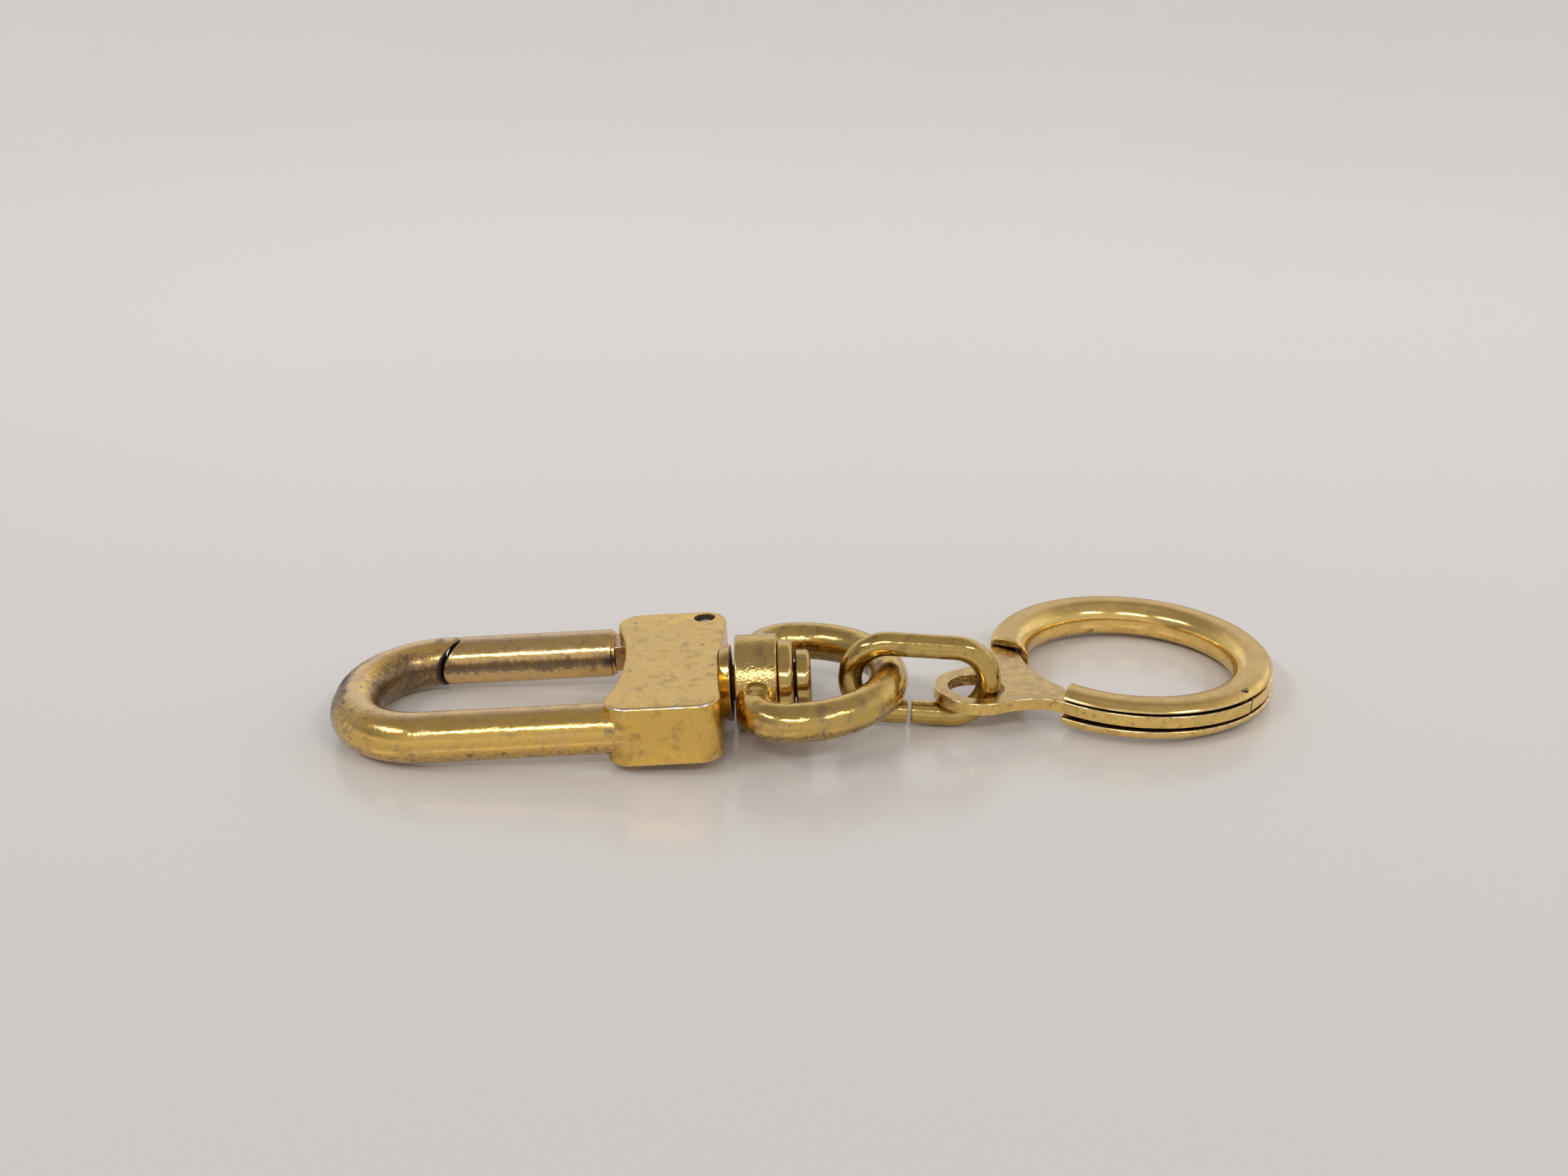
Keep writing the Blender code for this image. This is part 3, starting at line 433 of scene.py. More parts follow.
def cut_ends(points, heading, radius, edge, steps=4):
    """Rod ends cut square with a rounded rim: thinner by e(1 - cos k) while it runs in e(1 - sin k)."""
    k = np.linspace(np.pi / 2, 0.0, steps + 1)
    inwards = edge * (1 - np.sin(k))
    thin = radius - edge * (1 - np.cos(k))
    first = points[:1] + heading[:1] * inwards[:, None]
    last = points[-1:] - heading[-1:] * inwards[::-1, None]
    rows = np.concatenate([first, points[1:-1], last])
    ways = np.concatenate([np.repeat(heading[:1], steps + 1, 0), heading[1:-1],
                           np.repeat(heading[-1:], steps + 1, 0)])
    return rows, ways, np.concatenate([thin, np.full(len(points) - 2, radius), thin[::-1]])


def turned(profile, sides=TURNED_SIDES):
    """Profile of (x, radius) carried round the X axis: (x, r cos v, r sin v).

    lay is the same with the distance along the profile in place of x.
    """
    v = full_turn(sides)
    x, r = profile[:, :1], profile[:, 1:]
    along = travelled(profile)[:, None]
    return tuple(np.stack(np.broadcast_arrays(first, r * np.cos(v), r * np.sin(v)), -1)
                 for first in (x, along))


def bend_of(profile, loop=False):
    """How sharply a profile turns at each point, 0 on a flat and 1 on a small rounding."""
    if loop:
        before = np.roll(profile, 1, 0)
        after = np.roll(profile, -1, 0)
    else:
        before = np.concatenate([profile[:1], profile[:-1]])
        after = np.concatenate([profile[1:], profile[-1:]])
    a = profile - before
    b = after - profile
    la = np.linalg.norm(a, axis=-1) + 1e-9
    lb = np.linalg.norm(b, axis=-1) + 1e-9
    turn = np.arccos(np.clip((a * b).sum(-1) / (la * lb), -1, 1))
    return smooth(turn / np.minimum(la, lb) * 0.0002, 0.1, 0.6)


def edge_normals(loop):
    """Outward normals of a counter-clockwise loop, from the mean of its two neighbouring sides."""
    before = unit(loop - np.roll(loop, 1, 0))
    after = unit(np.roll(loop, -1, 0) - loop)
    along = unit(before + after)
    return np.stack([along[:, 1], -along[:, 0]], -1)


def slab(loops, low, high, edge, steps=5):
    """Plate with rounded edges: loops[0] is its outline counter-clockwise, the others holes, clockwise.

    A loop moves in along its normals by e(1 - cos k) while z goes from z_end - e to z_end as
    e sin k; the flats are filled between the innermost loops.
    """
    k = np.linspace(0.0, np.pi / 2, steps + 1)
    inset = edge * (1 - np.cos(k))
    rise = edge * (1 - np.sin(k))
    margin = edge * 2.2
    insets = np.concatenate([[margin], inset[::-1], inset, [margin]])
    levels = np.concatenate([[low], low + rise[::-1], high - rise, [high]])
    worn = np.concatenate([[0.0], np.sin(2 * k[::-1]), np.sin(2 * k), [0.0]])
    flat = np.concatenate([[1.0], np.sin(k[::-1]), np.sin(k), [1.0]])
    n = len(insets)
    counts = [len(loop) for loop in loops]
    starts = n * np.concatenate([[0], np.cumsum(counts)[:-1]]).astype(int)
    grids = []
    for loop, m in zip(loops, counts):
        flatwise = loop[None] - edge_normals(loop)[None] * insets[:, None, None]
        upright = np.broadcast_to(levels[:, None, None], (n, m, 1))
        grids.append(np.concatenate([flatwise, upright], -1))
    triangles = []
    for row, order in ((0, -1), (n - 1, 1)):
        rim = np.concatenate([start + row * m + np.arange(m) for start, m in zip(starts, counts)])
        triangles.append(rim[filling([grid[row] for grid in grids])][:, ::order])
    points = np.concatenate([grid.reshape(-1, 3) for grid in grids])
    marks = {"lay": points, "edge": np.concatenate([np.repeat(worn, m) for m in counts]),
             "film": np.concatenate([np.repeat(flat, m) for m in counts]),
             "tarnish": np.zeros(len(points))}
    return {"points": points, "triangles": np.concatenate(triangles), "marks": marks,
            "quads": np.concatenate([net(n, m, start) for start, m in zip(starts, counts)])}


def merged(skins):
    """Several skins as one, in their order."""
    starts = np.concatenate([[0], np.cumsum([len(s["points"]) for s in skins])])
    out = {"points": np.concatenate([s["points"] for s in skins])}
    for kind in ("quads", "triangles"):
        out[kind] = np.concatenate([s[kind] + start for s, start in zip(skins, starts)])
    out["marks"] = {name: np.concatenate([s["marks"][name] for s in skins])
                    for name in skins[0]["marks"]}
    return out


def mesh_of(name, skin):
    """Mesh with the marks lay, edge, tarnish and film as point attributes; the tarnish mark carries
    painted shade as well as tarnish.
    """
    mesh = bpy.data.meshes.new(name)
    mesh.from_pydata(skin["points"].tolist(), [], skin["quads"].tolist() + skin["triangles"].tolist())
    for title, values in skin["marks"].items():
        kind = 'FLOAT_VECTOR' if values.ndim == 2 else 'FLOAT'
        attribute = mesh.attributes.new(title, kind, 'POINT')
        attribute.data.foreach_set('vector' if values.ndim == 2 else 'value',
                                   np.ascontiguousarray(values, np.float32).ravel())
    mesh.update()
    return mesh


def object_of(name, mesh):
    """Object in the scene, at the origin."""
    obj = bpy.data.objects.new(name, mesh)
    bpy.context.scene.collection.objects.link(obj)
    return obj


def carve(name, mesh, cutters):
    """The mesh with each cutter's skin taken out of it."""
    obj = object_of(name + "_blank", mesh)
    tools = []
    for i, skin in enumerate(cutters):
        tool = object_of(f"{name}_cutter_{i}", mesh_of(f"{name}_cutter_{i}", skin))
        tools.append(tool)
        cut = obj.modifiers.new("Cut", 'BOOLEAN')
        cut.operation = 'DIFFERENCE'
        cut.solver = 'EXACT'
        cut.object = tool
    bpy.context.view_layer.update()
    graph = bpy.context.evaluated_depsgraph_get()
    carved = bpy.data.meshes.new_from_object(obj.evaluated_get(graph))
    for old in [obj] + tools:
        bpy.data.objects.remove(old)
    carved.name = name
    return carved


def sizes(context, *groups):
    """The scene's own groups of sizes by these names."""
    return [getattr(context.scene, "holder_" + group) for group in groups]


def finish_piece(context, name, skin):
    """Sets a piece in its place, gives it its finish and lets it stand for its CAD node."""
    group, body, node, slot, finish = PIECES[name]
    mesh = mesh_of(name, skin) if isinstance(skin, dict) else skin
    mesh.transform(place_matrix(group))
    mesh.shade_smooth()
    mesh.set_sharp_from_angle(angle=math.radians(SHARP_DEG))
    mesh.materials.clear()
    mesh.materials.append(plating(context, finish))
    obj = object_of(name, mesh)
    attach(obj, body)
    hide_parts(node)
    return obj


def hook_lines(context):
    """Places along the hook's own axis, from the block's right face, as a dictionary."""
    h, g, w = sizes(context, "hook", "gate", "swivel")
    at = {"half_wide": h.bow + h.rod}
    at["horn"] = h.right_hollow - h.block_long
    at["face"] = at["horn"] + h.left_hollow
    at["root"] = at["horn"] - g.standoff
    at["bow"] = at["face"] - h.arm
    at["nose"] = at["bow"] + g.nose_ahead
    at["tip"] = at["nose"] - g.groove_back
    at["pin"] = h.right_hollow - g.pin_inset
    at["pin_y"] = at["half_wide"] - g.pin_back
    at["collar"] = FIT_GAP
    at["barrel"] = at["collar"] + w.collar_thick + w.gap
    at["washer"] = at["barrel"] + w.barrel_long + FIT_GAP
    at["head"] = at["washer"] + w.washer_thick + FIT_GAP
    at["bail_root"] = at["barrel"] + w.barrel_long / 2
    return at


def block_side(horn, hollow, side, corner_y, corner):
    """Upper half of a hollowed side: the arc m + s R (1 - cos b), R sin b up to the corner's arc."""
    reach = (corner_y ** 2 + hollow ** 2) / (2 * hollow)
    meet = math.asin(corner_y / reach)
    b = np.linspace(0.0, meet, 30)
    wide = reach - corner
    hollowed = np.stack([horn - side * hollow + side * wide * (1 - np.cos(b)), wide * np.sin(b)], -1)
    t = np.linspace(-meet, math.pi / 2, 30)[1:]
    rounded = np.stack([horn - side * corner + side * corner * np.cos(t),
                        corner_y + corner * np.sin(t)], -1)
    return np.concatenate([hollowed, rounded])


def block_outline(context):
    """Block in plan: its right and left sides' upper halves, then both mirrored in y."""
    h = context.scene.holder_hook
    at = hook_lines(context)
    corner_y = at["half_wide"] - h.block_corner
    right = block_side(h.right_hollow, h.right_hollow, 1, corner_y, h.block_corner)
    left = block_side(at["horn"], h.left_hollow, -1, corner_y, h.block_corner)
    back = np.concatenate([right, left[::-1]])
    return np.concatenate([back, back[::-1][1:-1] * (1, -1)])


def tongue_outline(context, grow):
    """Tongue in plan: two straight sides and a half circle about the gate pin."""
    h, g = sizes(context, "hook", "gate")
    at = hook_lines(context)
    half = g.tongue_wide / 2 + grow
    start = at["root"] - g.neck
    boss = arc((at["pin"], at["pin_y"]), g.boss + grow, -math.pi / 2, math.pi / 2, 25)[0]
    return np.concatenate([[(start, h.bow - half)], boss, [(start, h.bow + half)]])


def height_at(line, x):
    """Y at x on the straight line through an outline's first two points."""
    rise = (line[1, 1] - line[0, 1]) / (line[1, 0] - line[0, 0])
    return line[0, 1] + rise * (x - line[0, 0])


def slot_outline(context):
    """Room for the tongue shut and swung in, open at the block's left and back."""
    g = context.scene.holder_gate
    at = hook_lines(context)
    pin = np.array([at["pin"], at["pin_y"]])
    turn = np.array([[math.cos(GATE_SWING), -math.sin(GATE_SWING)],
                     [math.sin(GATE_SWING), math.cos(GATE_SWING)]])
    swung = pin + (tongue_outline(context, RUNNING_GAP)[:2] - pin) @ turn.T
    out = at["root"] - OVERRUN
    back = at["half_wide"] + OVERRUN
    boss = arc(pin, g.boss + RUNNING_GAP, GATE_SWING - math.pi / 2, SLOT_LIP, 25)[0]
    return np.concatenate([[(out, height_at(swung, out))], boss, [(boss[-1, 0], back), (out, back)]])


def spring_line(context):
    """Spring's place in plan: x, the slot's wall, the hole's floor and the tongue's side."""
    x = hook_lines(context)["face"] + context.scene.holder_gate.spring_setback
    wall = height_at(slot_outline(context), x)
    return {"x": x, "wall": wall, "floor": wall - context.scene.holder_gate.pocket,
            "tongue": height_at(tongue_outline(context, 0.0), x)}


def drum(axis, centre, low, high, radius, flare=0.0):
    """Skin of a straight round cutter from low to high along Y or Z, its far end flared; its full
    tarnish mark paints the faces it cuts near black, as painted shade.
    """
    profile = np.array([(low, radius), (high - 2 * flare, radius), (high, radius + flare)])
    if flare == 0.0:
        profile = profile[[0, 2]]
    rings, lay = turned(profile, CUTTER_SIDES)
    order = {'Y': [1, 0, 2], 'Z': [2, 1, 0]}[axis]
    return shell(rings[..., order] + np.asarray(centre), lay, 0.0, 1.0)


def rod_end(rim, end_x, centre_y, edge, body_side, swell=0.0):
    """Shaped end of a rod along X: from the rim inwards to the middle of the surface x = end_x(z).

    The rim ring shrinks by f = 1 - e/r (1 - cos k) while x comes within e(1 - sin k) of the end.
    Swell adds swell sqrt(1 - f^2) to x, so that the middle stands out.
    """
    radius = np.hypot(rim[:, 1] - centre_y, rim[:, 2]).max()
    k = np.linspace(0.0, np.pi / 2, CAP_STEPS + 1)[1:]
    rest = np.zeros(CAP_RINGS - 1)
    shrink = np.concatenate([1 - edge / radius * (1 - np.cos(k)),
                             np.linspace(1 - edge / radius, 0.0, CAP_RINGS + 1)[1:-1]])[:, None]
    short = np.concatenate([edge * (1 - np.sin(k)), rest])[:, None]
    y = centre_y + shrink * (rim[None, :, 1] - centre_y)
    z = shrink * rim[None, :, 2]
    x = end_x(z) + body_side * short + swell * np.sqrt(1 - shrink ** 2)
    return np.stack([x, y, z], -1), np.concatenate([np.sin(2 * k), rest])


class HOLDER_OT_block(bpy.types.Operator):
    """Cast block: a hollowed plate with rounded edges, its gate slot, pin hole and spring hole"""
    bl_idname = "holder.block"
    bl_label = "Block"

    def execute(self, context):
        h, g = sizes(context, "hook", "gate")
        at = hook_lines(context)
        half = h.block_thick / 2
        skin = slab([block_outline(context)], -half, half, h.block_edge, steps=6)
        # rubbed plating and painted highlight: the front edges, facing the lamps, keep the full edge
        # mark, the others about a third
        front = smooth(-skin["points"][:, 1], h.bow - 0.001, h.bow + 0.0018)
        skin["marks"]["edge"] *= 0.35 + 0.65 * front
        skin["marks"]["film"] *= 1 - 0.5 * (np.abs(skin["points"][:, 2]) < half - h.block_edge)
        room = g.tongue_thick / 2 + RUNNING_GAP
        slot = slab([slot_outline(context)], -room, room, HAIR, steps=1)
        # painted shade on the slot's walls
        slot["marks"]["tarnish"][:] = 0.9
        # the hole and pocket cutters paint their cut faces near black, as painted shade
        hole = drum('Z', (at["pin"], at["pin_y"], 0), -half - 0.0005, half + HOLE_FLARE / 2, g.recess,
                    HOLE_FLARE)
        spring = spring_line(context)
        pocket = drum('Y', (spring["x"], 0, 0), spring["floor"], spring["wall"] + 0.0006,
                      g.coil + g.wire + FIT_GAP)
        mesh = carve("block", mesh_of("block_body", skin), [slot, hole, pocket])
        self.shade_pin_hole(mesh, at, g.recess + HAIR, half - HAIR)
        finish_piece(context, "block", mesh)
        return {'FINISHED'}

    def shade_pin_hole(self, mesh, at, radius, half):
        """Painted shade on the pin hole's wall: points within radius of the pin, off both faces."""
        spots = np.empty(len(mesh.vertices) * 3)
        mesh.vertices.foreach_get("co", spots)
        spots = spots.reshape(-1, 3)
        off_pin = np.hypot(spots[:, 0] - at["pin"], spots[:, 1] - at["pin_y"])
        marks = np.empty(len(spots), np.float32)
        mesh.attributes["tarnish"].data.foreach_get('value', marks)
        marks[(off_pin < radius) & (np.abs(spots[:, 2]) < half)] = 0.97
        mesh.attributes["tarnish"].data.foreach_set('value', marks)


class HOLDER_OT_bow(bpy.types.Operator):
    """Hook bow: a round rod bent to a U, hollowed at its tip to take the gate's nose"""
    bl_idname = "holder.bow"
    bl_label = "Bow"

    def execute(self, context):
        h, g = sizes(context, "hook", "gate")
        at = hook_lines(context)
        flat = h.bow - h.bow_corner
        left = at["bow"] - flat
        points, heading = run_of(
            straight((at["face"] + h.seat, -h.bow), (left, -h.bow), ARM_STEPS),
            arc((left, -flat), h.bow_corner, 1.5 * math.pi, math.pi, BEND_STEPS),
            straight((left - h.bow_corner, -flat), (left - h.bow_corner, flat), FLAT_STEPS),
            arc((left, flat), h.bow_corner, math.pi, 0.5 * math.pi, BEND_STEPS),
            straight((left, h.bow), (at["tip"] + h.rod, h.bow), 12))
        run = travelled(points)
        edge = 0.00016
        groove_z = g.groove_rise - g.nose_drop

        def on_rod(s, v):
            """Point at distance s along the rod and angle v round it."""
            x, y, hx, hy = (np.interp(s, run, row) for row in (*points.T, *heading.T))
            return np.stack([x - h.rod * np.cos(v) * hy, y + h.rod * np.cos(v) * hx,
                             h.rod * np.sin(v) + 0 * s], -1)

        def end_x(z):
            """Hollow of the tip, a circle in x and z."""
            return at["tip"] - np.sqrt(g.groove ** 2 - (z - groove_z) ** 2)

        v = full_turn()
        low = np.full(len(v), run[-1] - 0.008)
        high = np.full(len(v), run[-1])
        target = end_x(h.rod * np.sin(v)) - edge
        for _ in range(BISECTIONS):
            middle = (low + high) / 2
            short = on_rod(middle, v)[:, 0] < target
            low = np.where(short, middle, low)
            high = np.where(short, high, middle)
        rows = np.concatenate([np.linspace(0.0, 0.10, 30), np.linspace(0.10, 0.65, 60)[1:],
                               np.linspace(0.65, 1.0, 90)[1:]])
        s = rows[:, None] * low[None]
        wall = on_rod(s, v[None])
        corner = at["horn"] + h.block_corner
        tuck = smooth(at["face"] + h.seat - s, corner - 0.0001, corner + 0.0008)
        axis = wall - np.array([0.0, -h.bow, 0.0])
        tuck = tuck * (s < h.seat + h.left_hollow + 0.002)
        wall[..., 1:] -= (axis[..., 1:] * 0.12) * tuck[..., None]
        cap, worn = rod_end(wall[-1], end_x, h.bow, edge, -1, 0.00030)
        s = np.concatenate([s, np.repeat(s[-1:], len(cap), 0)])
        v = np.broadcast_to(v, s.shape)
        lay = np.stack([s, h.rod * np.cos(v), h.rod * np.sin(v)], -1)
        tarnish, film = self.marks(h, run, s, v)
        # painted shade: the tip's end face, in the gap before the gate's nose, is near black
        tarnish[len(wall):] = 1.0
        edge_mark = np.concatenate([np.zeros(len(wall)), 0.3 * worn])[:, None]
        finish_piece(context, "bow", shell(np.concatenate([wall, cap]), lay, edge_mark, tarnish, film))
        return {'FINISHED'}

    def marks(self, h, run, s, v):
        """Tarnish, painted shade and film at distance s along the rod and angle v round it.

        Each dark place is a product of smooth steps, and the mark is the darkest of them; the places on
        the low front, low left and underside are painted shade. The steps' limits are metres along the
        rod, or sines and cosines round it.
        """
        dark = BOW_TARNISH_AND_SHADE
        up, down = np.sin(v), -np.sin(v)
        out, inwards = np.cos(v), -np.cos(v)
        seat_end = h.seat + h.left_hollow
        bend_start = run[ARM_STEPS - 1]
        bend_end = run[ARM_STEPS + BEND_STEPS + FLAT_STEPS - 2]
        round_bend = smooth(s, bend_start + 0.002, bend_start + 0.012)
        facing_out = smooth(out, -0.2, 0.3)
        shine = dark["inside_shine"] * smooth(up, 0.15, 0.5)
        shine = shine * smooth(s, run[-1] - 0.009, run[-1] - 0.005)
        inside = (dark["inside"] - shine) * smooth(inwards, -0.1, 0.9) * round_bend
        low_line = np.exp(-((np.degrees(v) - 323.0) / 6.0) ** 2) * (1 - round_bend)
        low_line = low_line * smooth(s, 0.004, 0.006)
        outer_left = np.exp(-((s - bend_end) / 0.008) ** 2) * smooth(out, -0.1, 0.5)
        tip = dark["tip"] * smooth(s, run[-1] - 0.010, run[-1] - 0.004)
        tarnish = np.maximum.reduce([
            inside,
            dark["outer_left"] * outer_left,
            # painted shade on the low front, low left and underside, which face the shaded table
            dark["low_front_shade"] * (smooth(down, 0.10, 0.42) * facing_out),
            dark["low_left_shade"] * (smooth(down, -0.10, 0.30) * facing_out * round_bend),
            tip * (1 - 0.5 * smooth(up, 0.4, 0.9)),
            dark["low_line"] * low_line,
            dark["under_shade"] * smooth(down, 0.1, 0.9) * round_bend,
            dark["seat"] * (1 - smooth(s, seat_end - 0.0006, seat_end + 0.0006))])
        film = smooth(up, 0.90, 0.99) + 0.6 * smooth(down, 0.6, 1.0)
        return tarnish, np.maximum(film, 0.5 * round_bend * smooth(out, -0.2, 0.4))


class HOLDER_OT_gate(bpy.types.Operator):
    """Gate bar: a round bar with a rounded nose, a thin neck at its root and a tongue in the block"""
    bl_idname = "holder.gate"
    bl_label = "Gate"

    def execute(self, context):
        h, g = sizes(context, "hook", "gate")
        at = hook_lines(context)
        edge = 0.00038

        def end_x(z):
            """Rounded nose, a circle in x and z."""
            return at["nose"] - np.sqrt(g.nose ** 2 - (z + g.nose_drop) ** 2)

        v = full_turn()
        neck = h.rod - g.neck_inset
        root = soften([(at["root"] + g.neck, 0.0002), (at["root"] + g.neck, neck), (at["root"], neck),
                       (at["root"], h.rod), (at["root"] - 0.0005, h.rod)],
                      [0.0, 0.0001, 0.0, 0.00016, 0.0])
        x = np.repeat(root[:, :1], len(v), 1)
        stop = end_x(h.rod * np.sin(v)) + edge
        t = np.linspace(0.0, 1.0, 90)[1:, None] ** 1.3
        x = np.concatenate([x, x[-1] + (stop - x[-1]) * t])
        r = np.concatenate([root[:, 1:], np.full((len(t), 1), h.rod)])
        wall = np.stack(np.broadcast_arrays(x, h.bow + r * np.cos(v), r * np.sin(v)), -1)
        cap, worn = rod_end(wall[-1], end_x, h.bow, edge, 1)
        rings = np.concatenate([wall, cap])
        v = np.broadcast_to(v, rings.shape[:2])
        lay = np.stack([rings[..., 0], rings[..., 1] - h.bow, rings[..., 2]], -1)
        edge_mark = np.concatenate([0.4 * bend_of(root), np.zeros(len(t)), 0.2 * worn])[:, None]
        edge_mark[len(root) - 1] = 0.0
        front = smooth(-np.cos(v), -0.2, 0.9)
        root_smear = smooth(rings[..., 0], at["root"] - 0.0012, at["root"] - 0.0004)
        # painted reflection: a dark band on the front just below the highlight, where the bar mirrors
        # the front arm's shaded side
        low_front_shade = smooth(-np.sin(v), -0.50, -0.15) * (1 - smooth(-np.sin(v), 0.0, 0.5))
        tarnish = 0.12 + 0.75 * front * low_front_shade + 0.12 * root_smear
        # painted shade: the nose's end face, in the gap at the bow's tip, is near black, its rounded
        # rim lighter
        tarnish[len(wall):] = np.where(worn > 0.3, 0.25, 1.0)[:, None]
        bar = shell(rings, lay, edge_mark, tarnish, smooth(np.sin(v), 0.90, 0.99))
        tongue = slab([tongue_outline(context, 0.0)], -g.tongue_thick / 2, g.tongue_thick / 2, 0.00012)
        tongue["marks"]["tarnish"][:] = 0.5
        finish_piece(context, "gate", merged([bar, tongue]))
        return {'FINISHED'}


class HOLDER_OT_pins(bpy.types.Operator):
    """Gate pin and ring rivet: plain pins with softly rounded ends"""
    bl_idname = "holder.pins"
    bl_label = "Pins"

    def execute(self, context):
        h, g, q = sizes(context, "hook", "gate", "ring")
        at = hook_lines(context)
        gate_pin = upright_pin((at["pin"], at["pin_y"]), g.pin, h.block_thick / 2 - 0.00045)
        finish_piece(context, "gate_axle", gate_pin)
        rivet = upright_pin(around_ring(arm_middle(q), RIVET_TURN), q.rivet, q.high / 2 - 0.00009)
        rivet["marks"]["tarnish"][:] = 0.80
        rivet["marks"]["edge"][:] = 0.0
        finish_piece(context, "ring_axle", rivet)
        return {'FINISHED'}


def upright_pin(centre, radius, half):
    """Pin along Z with domed ends: corners of its profile are rounded by a third of its radius."""
    soft = radius / 3
    profile = soften([(-half - soft / 4, 0.0), (-half, radius), (half, radius), (half + soft / 4, 0.0)],
                     [0.0, soft, soft, 0.0], 8)[1:-1]
    rings, lay = turned(profile, PIN_SIDES)
    rings = rings[..., [2, 1, 0]] + np.array([centre[0], centre[1], 0.0])
    return shell(rings, lay, bend_of(profile)[:, None], 0.85)


class HOLDER_OT_spring(bpy.types.Operator):
    """Gate spring: a helix of round wire with an even pitch"""
    bl_idname = "holder.spring"
    bl_label = "Spring"

    def execute(self, context):
        g = context.scene.holder_gate
        line = spring_line(context)
        low = line["floor"] + FIT_GAP + g.wire
        high = line["tongue"] - FIT_GAP - g.wire
        turns = int((high - low) / COIL_PITCH)
        angle = np.linspace(0.0, 2 * np.pi * turns, COIL_STEPS * turns)
        y = low + (high - low) * angle / angle[-1]
        points = np.stack([line["x"] + g.coil * np.cos(angle), y, g.coil * np.sin(angle)], -1)
        heading = unit(np.gradient(points, axis=0))
        spoke = np.stack([np.cos(angle), 0 * angle, np.sin(angle)], -1)
        across = np.cross(heading, spoke)
        v = full_turn(COIL_SIDES)
        rings = points[:, None] + g.wire * (np.cos(v)[None, :, None] * spoke[:, None]
                                            + np.sin(v)[None, :, None] * across[:, None])
        lay = np.stack(np.broadcast_arrays(travelled(points)[:, None], g.wire * np.cos(v),
                                           g.wire * np.sin(v)), -1)
        obj = finish_piece(context, "gate_coil", shell(rings, lay))
        reach = hook_lines(context)["pin"] - line["x"] + g.coil + g.wire
        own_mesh(obj)
        return {'FINISHED'}


class HOLDER_OT_swivel(bpy.types.Operator):
    """Swivel stack: collar, washer and headed pin, each a rounded profile turned about the pin"""
    bl_idname = "holder.swivel"
    bl_label = "Swivel stack"

    def execute(self, context):
        w = context.scene.holder_swivel
        at = hook_lines(context)
        bore = w.pin + CLOSE_GAP
        end = at["collar"] + w.collar_thick
        self.turn(context, "collar", soften(
            [(0.0, bore), (0.0, w.collar - 0.00026), (end - 0.00028, w.collar - 0.00006),
             (end - 0.00010, w.collar), (end, w.collar), (end, bore)],
            [0.0, 0.00010, 0.00020, 0.00004, 0.00008, 0.0]))
        start = at["washer"] - CLOSE_GAP
        end = at["washer"] + w.washer_thick
        self.turn(context, "washer", soften(
            [(start, bore), (start, w.washer), (end, w.washer), (end, bore)],
            [0.0, 0.00018, 0.00046, 0.0], 10))
        start = at["head"]
        end = start + w.head_thick
        self.turn(context, "stud", soften(
            [(-w.pin_seat, 0.0001), (-w.pin_seat, w.pin), (start, w.pin), (start, w.head),
             (end, w.head), (end + 0.00003, 0.0001)], [0.0, 0.0, 0.0, 0.00022, 0.00050, 0.0], 10),
            loop=False)
        return {'FINISHED'}

    def turn(self, context, name, profile, loop=True):
        """Turned piece with painted shade: dark on its flat faces and near black on its shaft or bore,
        which face the gaps between the stacked pieces.
        """
        rings, lay = turned(profile)
        if loop:
            lay[..., 0] = profile[:, :1]
        slope = np.abs(np.gradient(profile[:, 1])) / (np.abs(np.gradient(profile[:, 0])) + 1e-7)
        shaft = (profile[:, 1] < context.scene.holder_swivel.pin + FIT_GAP) * 1.0
        # painted shade in the gaps: flat faces dark, shaft or bore near black
        tarnish = np.maximum(smooth(slope, 2.0, 8.0) * 0.9, shaft)
        edge_mark = 0.7 * bend_of(profile, loop)
        finish_piece(context, name, shell(rings, lay, edge_mark[:, None], tarnish[:, None], loop=loop))


